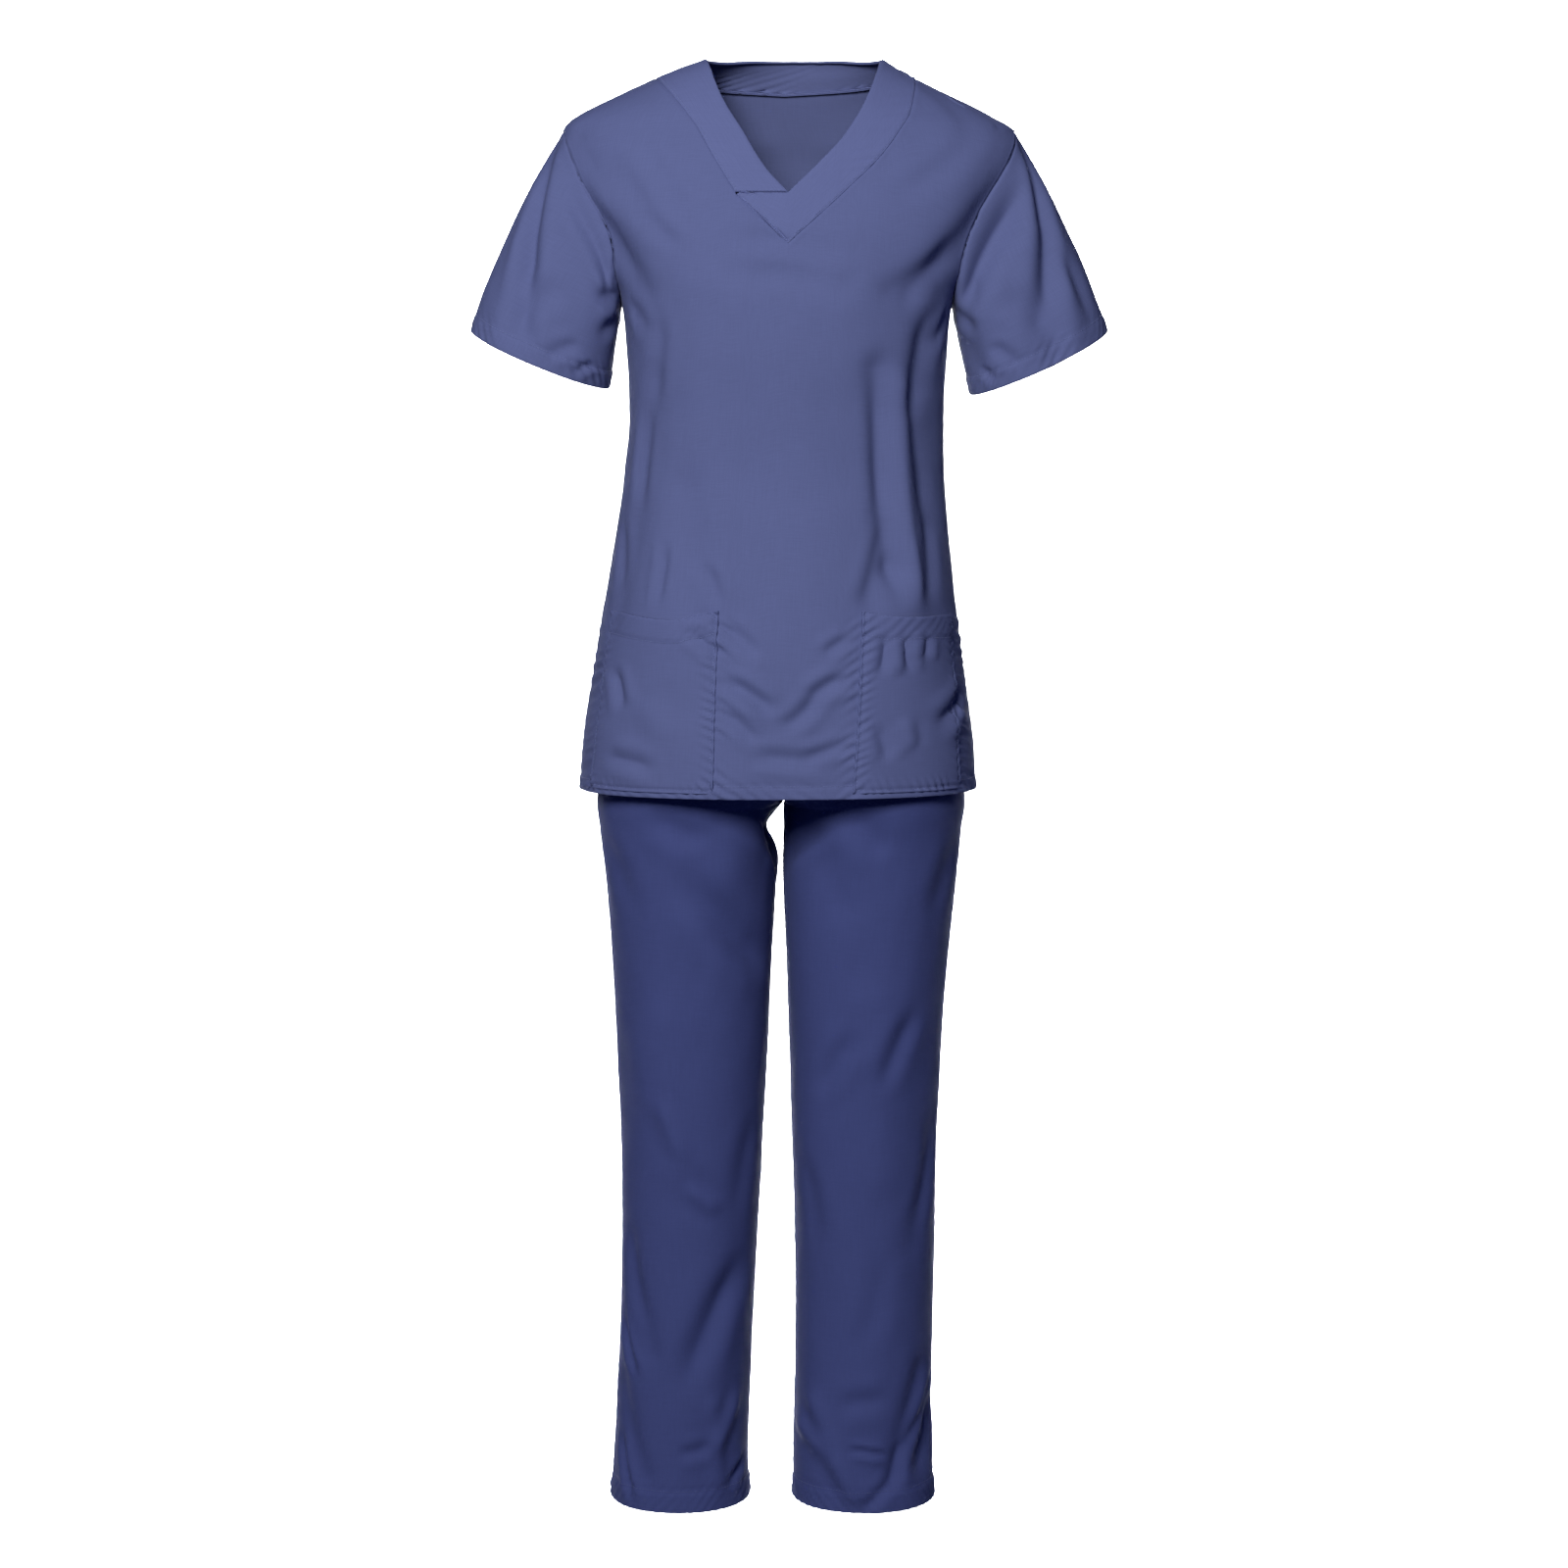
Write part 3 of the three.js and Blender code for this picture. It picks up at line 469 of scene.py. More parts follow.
# Seeds of the ripples, so that no two pieces ripple alike
SEEDS = {"top_front": 40, "top_back": 60, "sleeve_seam": 80, "sleeve_hem": 90, "neckband": 120, "pocket": 140,
         "pocket_hem": 150, "beside_pocket": 170, "trousers": 200, "waistband": 260}

# How finely each form is drawn
PANEL_FINE = 6
PANEL_FINE_BACK = 4
ARMHOLE_ROWS = 44
SIDE_ROWS = {"front": 170, "back": 110}
LEG_ROWS = {"front": 250, "back": 170}
LEG_COLUMNS = {"front": 84, "back": 56}
SLEEVE_AROUND = 168
SLEEVE_ROWS = 62
BAND_COLUMNS = 12
BAND_ROWS = {"front_right": 50, "front_left": 80, "back": 110}
POCKET_COLUMNS = 46
POCKET_ROWS = 70
CASING_AROUND = 400
CASING_ROWS = 14
STITCH_SIDES = 5
EDGE_LINES = np.array([0.5, 1.2, 2.1, 3.2])
NEARBY_ANGLE = 0.3
NEARBY_Z = 0.8

# About how long forms are in millimetres, to place the lines beside their edges
BAND_WIDE = 34
BAND_FRONT_LONG = 150
BAND_LAP_LONG = 45
BAND_BACK_LONG = 260
POCKET_WIDE = 110
POCKET_LONG = 160
LEG_PANEL_WIDE = 230


# Reading tables and forms

def read(rows, key, name, at):
    """A column read between its rows along a monotone cubic: its tangents are harmonic means of the slopes on
    either side, and level where they change sign, so it never overshoots a row."""
    x, v = rows[key], rows[name]
    if x[0] > x[-1]:
        x, v = x[::-1], v[::-1]
    slope = np.diff(v) / np.diff(x)
    before, after = slope[:-1], slope[1:]
    total = np.where(before + after == 0, 1.0, before + after)
    middle = np.where(before * after > 0, 2 * before * after / total, 0.0)
    tangent = np.concatenate([slope[:1], middle, slope[-1:]])
    at = np.clip(at, x[0], x[-1])
    i = np.clip(np.searchsorted(x, at) - 1, 0, len(x) - 2)
    span = x[i + 1] - x[i]
    t = (at - x[i]) / span
    return ((2 * t**3 - 3 * t**2 + 1) * v[i] + (t**3 - 2 * t**2 + t) * span * tangent[i]
            + (3 * t**2 - 2 * t**3) * v[i + 1] + (t**3 - t**2) * span * tangent[i + 1])


def mix(a, b, share):
    """From a to b by a share."""
    return a + (b - a) * share


def step(t):
    """A smooth rise from 0 to 1 as t goes from 0 to 1."""
    t = np.clip(t, 0, 1)
    return t * t * (3 - 2 * t)


def bell(distance, width):
    """A bell curve: 1 in the middle, falling off over the width."""
    return np.exp(-((distance / width) ** 2))


def from_fold(rows, i, angle, place, mm_per_degree, mm_per_place):
    """On the unrolled cloth in millimetres: how far points lie from the start of fold i, and how far its end
    does. The points are first turned to the fold's side of the form."""
    a0, a1, b0, b1 = [rows[name][i] for name in ("from_angle", "to_angle", "from_place", "to_place")]
    turn = np.round(((a0 + a1) / 2 - angle) / 360) * 360
    return ((angle + turn - a0) * mm_per_degree, (place - b0) * mm_per_place,
            (a1 - a0) * mm_per_degree, (b1 - b0) * mm_per_place)


def banks(rows, angle, place, mm_per_degree, mm_per_place=1):
    """The sum of soft ridges and troughs: each a bell across a straight line on the unrolled cloth."""
    height = np.zeros(np.broadcast(angle, place).shape)
    for i, depth in enumerate(rows["depth"]):
        px, py, dx, dy = from_fold(rows, i, angle, place, mm_per_degree, mm_per_place)
        t = np.clip((px * dx + py * dy) / (dx * dx + dy * dy), 0, 1)
        height += depth * bell(np.hypot(px - t * dx, py - t * dy), rows["width"][i])
    return height


def creases(rows, angle, place, mm_per_degree, mm_per_place=1):
    """The sum of fine creases: each a bell across a bowed line, with a lower ridge on both flanks, and fading
    out towards both ends."""
    height = np.zeros(np.broadcast(angle, place).shape)
    for i, depth in enumerate(rows["depth"]):
        px, py, dx, dy = from_fold(rows, i, angle, place, mm_per_degree, mm_per_place)
        length = math.hypot(dx, dy)
        t = (px * dx + py * dy) / length**2
        across = (py * dx - px * dy) / length - rows["bow"][i] * 4 * t * (1 - t)
        fade = step(t / CREASE_FADE) * step((1 - t) / CREASE_FADE)
        width = rows["width"][i]
        form = bell(across, width) - rows["ridge"][i] * bell(np.abs(across) - RIDGE_AWAY * width, width)
        height += depth * fade * form
    return height


def drift(points, length, seed, stretch=1.0):
    """Slow unevenness from about -1 to 1 at points: sine waves in directions drawn from a fixed seed, with a
    typical wave length, drawn out up and down by the stretch."""
    draw = np.random.default_rng(seed)
    ways = draw.normal(size=(DRIFT_WAVES, 3))
    ways /= np.linalg.norm(ways, axis=1, keepdims=True)
    ways[:, 2] /= stretch
    waves = 2 * math.pi / (length * draw.uniform(*DRIFT_SPREAD, DRIFT_WAVES))
    phases = draw.uniform(0, 2 * math.pi, DRIFT_WAVES)
    return np.sin((points @ ways.T) * waves + phases).sum(-1) / DRIFT_FULL


def wander(points, seeds, stretches):
    """How far hung cloth strays from its form: broad slow waves with finer, lower ones on them."""
    broad, fine = [height * drift(points, length, seed, stretch)
                   for (height, length), seed, stretch in zip(WANDER, seeds, stretches)]
    return broad + fine


def reach(angle, square):
    """Superellipse reach at an angle from the front, in units of the half sizes."""
    a = np.radians(angle)
    return (np.abs(np.sin(a)) ** square + np.abs(np.cos(a)) ** square) ** (-1 / square)


def angle_of_share(share, square):
    """The angle at which a superellipse is a share of its half width from the middle."""
    s = np.minimum(np.abs(share), 1 - 1e-12) ** square
    return np.sign(share) * np.degrees(np.arctan((s / (1 - s)) ** (1 / square)))


def section_point(rows, angle, z, middle, half, lift, side):
    """Out from the middle by the superellipse, then by the lift along the same ray."""
    a = np.radians(angle)
    k = reach(angle, read(rows, "z", "square", z))
    deep = np.where(np.cos(a) > 0, read(rows, "z", "front", z), read(rows, "z", "back", z))
    x, y = half * k * np.sin(a), -deep * k * np.cos(a)
    grown = 1 + lift / np.hypot(x, y)
    return np.stack([middle + side * x * grown, y * grown, z + 0 * x], -1)


def torso(angle, z):
    """The cloth's outer face on the top at an angle and height: section, main folds, creases, unevenness."""
    angle, z = np.broadcast_arrays(np.asarray(angle, float), np.asarray(z, float))
    middle, half = read(TORSO, "z", "middle", z), read(TORSO, "z", "half", z)
    lift = banks(TORSO_BANKS, angle, z, TORSO_MM_PER_DEGREE)
    lift = lift + creases(TORSO_CREASES, angle, z, TORSO_MM_PER_DEGREE)
    plain = section_point(TORSO, angle, z, middle, half, 0 * z, 1)
    calm = step((CALM_FROM_Z - z) / CALM_OVER)
    lift = lift + calm * wander(plain, (3, 4), (2.2, 1.5))
    return section_point(TORSO, angle, z, middle, half, lift, 1)


def torso_angle(x, z):
    """The angle on the top's front of a place in the front view."""
    share = (x - read(TORSO, "z", "middle", z)) / read(TORSO, "z", "half", z)
    return angle_of_share(share, read(TORSO, "z", "square", z))


def leg_half(side, z):
    """The middle and half width of a leg's section."""
    outer = read(LEGS, "z", "right_outer" if side < 0 else "left_outer", z)
    inner = read(LEGS, "z", "right_inner" if side < 0 else "left_inner", z)
    return (outer + inner) / 2, side * (outer - inner) / 2


def leg(side):
    """The form of one leg, as a function of angle and height."""
    def form(angle, z):
        angle, z = np.broadcast_arrays(np.asarray(angle, float), np.asarray(z, float))
        middle, half = leg_half(side, z)
        lift = banks(LEG_BANKS[side], angle, z, LEG_MM_PER_DEGREE)
        shown = step((TROUSERS_SHOWN_Z - z) / TROUSERS_SHOWN_OVER)
        lift = lift + shown * creases(LEG_CREASES[side], angle, z, LEG_MM_PER_DEGREE)
        plain = section_point(LEGS, angle, z, middle, half, 0 * z, side)
        lift = lift + shown * wander(plain, (8 + side, 12 + side), (2.4, 1.6)) - UNDER_TOP * (1 - shown)
        return section_point(LEGS, angle, z, middle, half, lift, side)
    return form


def with_normals(form, angle, z, outwards=1):
    """Points of a form, and their outward normals from points close by on either side."""
    round_by = form(angle + NEARBY_ANGLE, z) - form(angle - NEARBY_ANGLE, z)
    up = form(angle, z + NEARBY_Z) - form(angle, z - NEARBY_Z)
    normal = np.cross(round_by, up) * outwards
    return form(angle, z), normal / np.linalg.norm(normal, axis=-1, keepdims=True)


def grid_normals(points, tube):
    """Normals of a grid of points from the differences between neighbours."""
    if tube:
        round_by = np.roll(points, -1, 1) - np.roll(points, 1, 1)
    else:
        round_by = np.gradient(points, axis=1)
    normal = np.cross(np.gradient(points, axis=0), round_by)
    normal /= np.linalg.norm(normal, axis=-1, keepdims=True)
    out = points - points.mean(axis=1, keepdims=True)
    return normal * np.sign((normal * out).sum(-1).mean()) if tube else normal


# Edges: how far each point lies from them, and what sewing does there

def lengths(points, axis):
    """The length of cloth from the first point of each line to every other."""
    spans = np.linalg.norm(np.diff(points, axis=axis), axis=-1)
    zero = np.zeros_like(np.take(spans, [0], axis=axis))
    return np.cumsum(np.concatenate([zero, spans], axis=axis), axis=axis)


def pucker(along, away, pitch, seed, slant):
    """Slanting ripples beside a stitched line: a sine along it that leans by the slant, with a pitch and a
    strength that wander."""
    along, away = np.broadcast_arrays(along, away)
    place = np.stack([along, 0 * along, 0.3 * away], -1)
    shift = 0.9 * drift(place, pitch * 5, seed)
    strong = 0.55 + 0.45 * drift(place, pitch * 4, seed + 1)
    return strong * np.sin(2 * math.pi * (along + slant * away) / pitch + 2.2 * shift)


def swell(away, height, middle, width):
    """A bell of a height, its middle at a distance from an edge."""
    return height * bell(away - middle, width)


def seam(away, along, seed, deep=SEAM_DEEP):
    """A sewn seam: the cloth turns in at its edge, with a soft swell and slight ripples beside it."""
    return (swell(away, -deep, 0, SEAM_GROOVE) + swell(away, *SEAM_SWELL)
            + swell(away, *SEAM_RIPPLE) * pucker(along, away, SEAM_PITCH, seed, SEAM_SLANT))


def hem(away, along, deep, seed, ripples=HEM_RIPPLES):
    """A turned and stitched hem: the doubled edge stands a little proud, the stitches draw a groove into it,
    and slanting ripples run from them to the edge."""
    thick = HEM_PROUD * (1 - step((away - deep + HEM_ENDS) / HEM_ENDS_OVER))
    near = bell(away - HEM_RIPPLE_AT * deep, HEM_RIPPLE_WIDE * deep)
    return (thick + swell(away - deep, *HEM_GROOVE) + swell(away, *HEM_EDGE)
            + ripples * near * pucker(along, away - deep, HEM_PITCH, seed, 1.0))


def crowd(values, low, high):
    """Extra lines close to the ends of a rising row of values: low and high are a millimetre in its units."""
    extra = []
    if low:
        extra.append(values[0] + EDGE_LINES * low)
    if high:
        extra.append(values[-1] - EDGE_LINES * high)
    return np.unique(np.round(np.concatenate([values, *extra]), 7))


def spread(count, long):
    """Even steps from 0 to 1, with extra lines beside both edges of a form so many millimetres long."""
    return crowd(np.linspace(0, 1, count + 1), 1 / long, 1 / long)


def from_edges(points):
    """The length of cloth from the first and last column, and from the first and last row, to every point."""
    across, down = lengths(points, 1), lengths(points, 0)
    return across, across[:, -1:] - across, down, down[-1:] - down


# The top's panels

def armhole(part, face):
    """The armhole's edge: a squarish loop from the shoulder point to the armpit, as height and angle."""
    a = math.pi * np.asarray(part, float)
    middle, half = (SHOULDER_POINT_Z + ARMPIT_Z) / 2, (SHOULDER_POINT_Z - ARMPIT_Z) / 2
    power = 2 / ARMHOLE_SQUARE
    z = middle + half * np.sign(np.cos(a)) * np.abs(np.cos(a)) ** power
    return z, 90 - ARMHOLE_OPEN[face] * np.abs(np.sin(a)) ** power


def seam_angle(z, face):
    """The angle at which a panel stops short of the side or shoulder seam."""
    return 90 - np.degrees(SEAM_INSET / read(TORSO, "z", face, z))


def share_of_angle(angle, z):
    """How far a point at an angle lies from the middle, as a share of the half width."""
    return reach(angle, read(TORSO, "z", "square", z)) * np.sin(np.radians(angle))


def panel_share(z, face):
    """How far a panel reaches at a height, as a share of the half width: to the armhole, or to the seam."""
    middle, half = (SHOULDER_POINT_Z + ARMPIT_Z) / 2, (SHOULDER_POINT_Z - ARMPIT_Z) / 2
    away = np.minimum(np.abs((z - middle) / half), 1)
    widest = 90 - ARMHOLE_OPEN[face] * (1 - away**ARMHOLE_SQUARE) ** (1 / ARMHOLE_SQUARE)
    return share_of_angle(np.minimum(widest, seam_angle(z, face)), z)


def band_right(t):
    """Inner edge and outer seam of the wearer's right band, from the shoulder to the lap."""
    at = t * BAND_RIGHT["step"][-1]
    return [read(BAND_RIGHT, "step", name, at) for name in ("inner_x", "inner_z", "outer_x", "outer_z")]


def band_left(t):
    """Inner edge and outer seam of the wearer's left band: to the V at 1, and on across the lap to 2."""
    at = np.minimum(t, 1) * BAND_LEFT["step"][-1]
    lap = np.maximum(t - 1, 0)
    return [mix(read(BAND_LEFT, "step", name, at), LAP_END[name], lap)
            for name in ("inner_x", "inner_z", "outer_x", "outer_z")]


def beyond(band):
    """A place just outside a band's outer seam, in the front view."""
    inner_x, inner_z, outer_x, outer_z = band
    dx, dz = outer_x - inner_x, outer_z - inner_z
    length = np.hypot(dx, dz)
    return outer_x + dx / length * BAND_SEAM, outer_z + dz / length * BAND_SEAM


def front_tops(index):
    """Where each column of the front panel starts, as height and share: along the shoulder seam, the neckline
    and the other shoulder seam. The whole numbers of index are the solid's columns."""
    z, share = np.empty_like(index), np.empty_like(index)
    first, lap, past_lap, middle, last, end = FRONT_COLUMNS.values()
    for low, high, place in (
        (first, lap, lambda i: beyond(band_right((i - first) / (lap - first)))),
        (past_lap, middle, lambda i: beyond(band_left(1 + (middle - i) / (middle - past_lap)))),
        (middle, last, lambda i: beyond(band_left((last - i) / (last - middle)))),
    ):
        here = (index >= low) & (index <= high)
        x, z[here] = place(index[here])
        limit = seam_angle(z[here], "front")
        angle = np.clip(torso_angle(x, z[here]), -limit, limit)
        share[here] = share_of_angle(angle, z[here]) / panel_share(z[here], "front")
    join = (index > lap) & (index < past_lap)
    ends = np.flatnonzero(join)[[0, -1]] + (-1, 1)
    for values in (z, share):
        values[join] = mix(values[ends[0]], values[ends[1]], index[join] - lap)
    return shoulders(index, z, share, first, last, end)


def shoulders(index, z, share, first, last, end):
    """Fills the columns along both shoulder seams, which rise evenly to the neckline."""
    right, left = index < first, index > last
    top = z[np.searchsorted(index, first)]
    z[right] = mix(SHOULDER_POINT_Z, top, index[right] / first)
    top = z[np.searchsorted(index, last)]
    z[left] = mix(top, SHOULDER_POINT_Z, (index[left] - last) / (end - last))
    share[right], share[left] = -1, 1
    return z, share


def back_tops(index):
    """The same for the back panel, whose neckline is given by the angle from the centre back."""
    first, _, last, end = BACK_COLUMNS.values()
    angle = np.clip(mix(-90, 90, (index - first) / (last - first)), -90, 90)
    z = read(BAND_BACK, "angle", "outer_z", np.abs(angle)) - BAND_SEAM
    limit = seam_angle(z, "back")
    share = share_of_angle(np.clip(angle, -limit, limit), z) / panel_share(z, "back")
    return shoulders(index, z, share, first, last, end)


def panel_spots(face):
    """Angles and heights of a body panel: each column falls from its start to the hem and spreads evenly."""
    columns, fine = (FRONT_COLUMNS, PANEL_FINE) if face == "front" else (BACK_COLUMNS, PANEL_FINE_BACK)
    end, middle = columns["end"], columns["middle"]
    index = crowd(np.arange(end * fine + 1) / fine, COLUMNS_PER_MM, COLUMNS_PER_MM)
    z_top, share_top = front_tops(index) if face == "front" else back_tops(index)
    fall = SHOULDER_POINT_Z - TOP_HEM_Z
    arm = (SHOULDER_POINT_Z - armhole(np.linspace(0, 1, ARMHOLE_ROWS + 1), face)[0]) / fall
    rows = crowd(np.concatenate([arm, np.linspace(arm[-1], 1, SIDE_ROWS[face] + 1)[1:]]), 1 / fall, 1 / fall)
    rows = rows[:, None]
    z = mix(z_top, TOP_HEM_Z, rows)
    across = np.where(index <= middle, index / middle - 1, (index - middle) / (end - middle))
    share = mix(share_top, share_of_angle(90 * across, TOP_HEM_Z), 1 - (1 - rows) ** COLUMN_SPREAD)
    from_edge = np.minimum(index, end - index)
    most = 1 - COLUMN_APART * from_edge * np.minimum(1, rows / COLUMN_SETTLED)
    angle = angle_of_share(np.clip(share, -most, most) * panel_share(z, face), read(TORSO, "z", "square", z))
    return (180 - angle if face == "back" else angle), z


def sleeve_form(side, around, along):
    """Straight lines from the armhole to the cuff, filled out and folded, as points by row and column."""
    part = 2 * np.abs(((around + 0.5) % 1) - 0.5)
    back = around > 0.5
    z, angle = [np.where(back, b, f) for f, b in zip(armhole(part, "front"), armhole(part, "back"))]
    limit = np.where(back, seam_angle(z, "back"), seam_angle(z, "front"))
    round_by = side * np.minimum(angle, limit)
    rim = torso(np.where(back, 180 - round_by, round_by), z)
    cuff = CUFFS[side]
    a = 2 * math.pi * around
    y = -cuff["half_depth"] * np.sin(a)
    x, up = [(cuff["outer"][i] + cuff["inner"][i]) / 2 + (cuff["outer"][i] - cuff["inner"][i]) / 2 * np.cos(a)
             for i in (0, 1)]
    foot = np.stack([x, y, up + cuff["tilt"] * y], -1)
    along = along[:, None]
    points = mix(rim[None], foot[None], along[..., None])
    degrees = 360 * around[None]
    under = (1 - np.cos(np.radians(degrees))) / 2
    full = mix(*[read(SLEEVE_FULLNESS, "along", name, along) for name in ("over", "under")], under)
    lift = banks(SLEEVE_BANKS[side], degrees, along, SLEEVE_MM_PER_DEGREE, SLEEVE_MM_PER_LENGTH)
    lift = lift + creases(SLEEVE_CREASES[side], degrees, along, SLEEVE_MM_PER_DEGREE, SLEEVE_MM_PER_LENGTH)
    lift = lift + 0.5 * drift(points, 60, 20 + side, 1.4) + 0.2 * drift(points, 26, 24 + side)
    out = points - points.mean(axis=1, keepdims=True)
    out /= np.linalg.norm(out, axis=-1, keepdims=True)
    points = points + out * (full + lift * np.minimum(1, along / SLEEVE_SETTLED))[..., None]
    return np.concatenate([allowance(side, back, angle, z), points])


def allowance(side, back, angle, z):
    """The sleeve's seam allowance: two rows that lie inside the body, the first further under its panels."""
    over, up = (angle - 90) * TORSO_MM_PER_DEGREE, z - (SHOULDER_POINT_Z + ARMPIT_Z) / 2
    span = np.hypot(over, up)
    rows = []
    for beyond_rim, deep in ALLOWANCE:
        away = side * (angle + over / span * beyond_rim / TORSO_MM_PER_DEGREE)
        spots = np.where(back, 180 - away, away), z + up / span * beyond_rim
        points, normals = with_normals(torso, *spots)
        rows.append(points - normals * deep)
    return np.stack(rows)


# Meshes

def folded_over(edge, inside, normal):
    """The line where cloth that folds over an edge ends, a little inside the garment."""
    away = edge - inside
    away /= np.maximum(np.linalg.norm(away, axis=-1, keepdims=True), 1e-6)
    return edge + away * TURNING_OUT - normal * TURNING_DEEP


def turned_in(points, normals, tube):
    """Adds the turning along every free edge, so that no light shows between two pieces that are sewn."""
    for axis in ((0,) if tube else (0, 1)):
        p, n = np.moveaxis(points, axis, 0), np.moveaxis(normals, axis, 0)
        first, last = folded_over(p[0], p[1], n[0]), folded_over(p[-1], p[-2], n[-1])
        p, n = np.concatenate([first[None], p, last[None]]), np.concatenate([n[:1], n, n[-1:]])
        points, normals = np.moveaxis(p, 0, axis), np.moveaxis(n, 0, axis)
    return points, normals


def sewn(points, normals, amount):
    """Points moved out along their normals by an amount in millimetres."""
    return points + normals * amount[..., None]


def cloth_mesh(name, points, u, v, tube=False):
    """A grid of points as one sheet of quads, with the cloth's own lengths in metres as its UV map."""
    rows, columns = points.shape[:2]
    spans = columns if tube else columns - 1
    i, j = np.meshgrid(np.arange(rows - 1), np.arange(spans), indexing="ij")
    a, b = i * columns + j, i * columns + (j + 1) % columns
    corners = np.stack([a, b, b + columns, a + columns], -1).reshape(-1, 4)
    wrap = np.stack([j, j + 1, j + 1, j], -1).reshape(-1, 4)
    down = np.stack([i, i, i + 1, i + 1], -1).reshape(-1, 4)
    if tube:
        u = np.concatenate([u, u[:, -1:] + (u[:, -1:] - u[:, -2:-1])], axis=1)
        v = np.concatenate([v, v[:, :1]], axis=1)
    mesh = bpy.data.meshes.new(name)
    mesh.vertices.add(rows * columns)
    mesh.vertices.foreach_set("co", (points * MM).astype(np.float32).ravel())
    mesh.loops.add(corners.size)
    mesh.loops.foreach_set("vertex_index", corners.astype(np.int32).ravel())
    mesh.polygons.add(len(corners))
    mesh.polygons.foreach_set("loop_start", np.arange(0, corners.size, 4, dtype=np.int32))
    mesh.polygons.foreach_set("use_smooth", np.ones(len(corners), bool))
    layer = mesh.uv_layers.new(name="cloth")
    lay = np.stack([u[down, wrap], v[down, wrap]], -1) * MM
    layer.data.foreach_set("uv", lay.astype(np.float32).ravel())
    mesh.update(calc_edges=True)
    mesh.validate()
    return mesh


def facing(points, normals, tube):
    """Whether a grid's quads would face along the normals."""
    across = (np.roll(points, -1, 1) if tube else np.gradient(points, axis=1) + points) - points
    return (np.cross(across, np.gradient(points, axis=0)) * normals).sum(-1).mean() > 0


def placed(name, data):
    """A new object in the scene for a mesh, a light or a camera."""
    made = bpy.data.objects.new(name, data)
    bpy.context.scene.collection.objects.link(made)
    return made


def cloth_piece(solid, points, normals, slot, thick=None, tube=False):
    """A piece of cloth in place of a solid: the outer face from the grid, and its thickness inside it."""
    if not facing(points, normals, tube):
        points, normals = points[:, ::-1], normals[:, ::-1]
    points, normals = turned_in(points, normals, tube)
    middle = points.shape[1] // 2
    u = lengths(points, 1)
    u = u - u[:, middle:middle + 1]
    v = -lengths(points, 0)
    v = v - v[-1:] + 0 * u
    mesh = cloth_mesh(solid + "_cloth", points, u, v, tube)
    mesh.materials.append(material_for(slot))
    piece = placed(solid + "_cloth", mesh)
    wall = piece.modifiers.new("cloth thickness", "SOLIDIFY")
    wall.thickness = (thick or sewing("cloth_thick")) * MM
    wall.offset = -1
    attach(piece, "root")
    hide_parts(solid)


STITCH_LINES = {"top": [], "trousers": []}


def keep_line(garment, points, normals, away, deep, axis=0):
    """Keeps the line on a grid that runs a set distance from an edge, for the stitches: where the distance
    passes deep on each column or row."""
    if axis == 1:
        points, normals, away = points.swapaxes(0, 1), normals.swapaxes(0, 1), away.T
    order = slice(None) if away[0, 0] < away[-1, 0] else slice(None, None, -1)
    points, normals, away = points[order], normals[order], away[order]
    upper = np.clip((away < deep).sum(0), 1, len(away) - 1)
    column = np.arange(away.shape[1])
    low, high = away[upper - 1, column], away[upper, column]
    share = np.clip((deep - low) / np.maximum(high - low, 1e-9), 0, 1)[:, None]
    line = mix(points[upper - 1, column], points[upper, column], share)
    lean = mix(normals[upper - 1, column], normals[upper, column], share)
    STITCH_LINES[garment].append((line, lean))


def stitches(line, lean):
    """Stitches along a line: each a short spindle with a ring of corners near both ends, half sunk in the
    cloth."""
    long, pitch, thick = sewing("stitch_long"), sewing("stitch_pitch"), sewing("thread_thick")
    spans = np.linalg.norm(np.diff(line, axis=0), axis=1)
    at = np.concatenate([[0], np.cumsum(spans)])
    starts = np.arange(pitch / 2, at[-1] - long, pitch)
    where = starts[:, None] + np.array([0, 0.14, 0.86, 1]) * long
    centres, out = [np.stack([np.interp(where, at, part[:, k]) for k in range(3)], -1)
                    for part in (line, lean)]
    out /= np.linalg.norm(out, axis=-1, keepdims=True)
    way = centres[:, -1:] - centres[:, :1]
    way = way / np.linalg.norm(way, axis=-1, keepdims=True)
    cross = np.cross(way, out)
    rise = np.array([-0.3, 0.35, 0.35, -0.3])[:, None] * thick
    centres = centres + out * rise
    n = STITCH_SIDES
    turn = 2 * math.pi * np.arange(n) / n
    ring = out[:, :, None] * np.cos(turn)[:, None] + cross[:, :, None] * np.sin(turn)[:, None]
    rings = centres[:, 1:3, None] + ring[:, 1:3] * thick / 2
    points = np.concatenate([centres[:, :1], rings[:, 0], rings[:, 1], centres[:, 3:]], axis=1)
    k = np.arange(n)
    after = (k + 1) % n
    faces = np.concatenate([
        np.stack([0 * k, 1 + k, 1 + after], -1),
        np.stack([1 + k, 1 + n + k, 1 + n + after], -1),
        np.stack([1 + k, 1 + n + after, 1 + after], -1),
        np.stack([0 * k + 1 + 2 * n, 1 + n + after, 1 + n + k], -1),
    ])[:, ::-1]
    firsts = (2 + 2 * n) * np.arange(len(starts))
    return points.reshape(-1, 3), (faces[None] + firsts[:, None, None]).reshape(-1, 3)


# Materials

# Uneven yarn: streaks 1.1 mm wide and 25 mm long, as counts in a metre, and how far they change tone and height
YARN_STREAKS = (900.0, 40.0)
STREAK_TONE = 0.12
STREAK_HEIGHT = 0.35
# Slight clouding of the dye, 90 mm across
DYE_CLOUDS = 11.0
CLOUD_TONE = 0.07
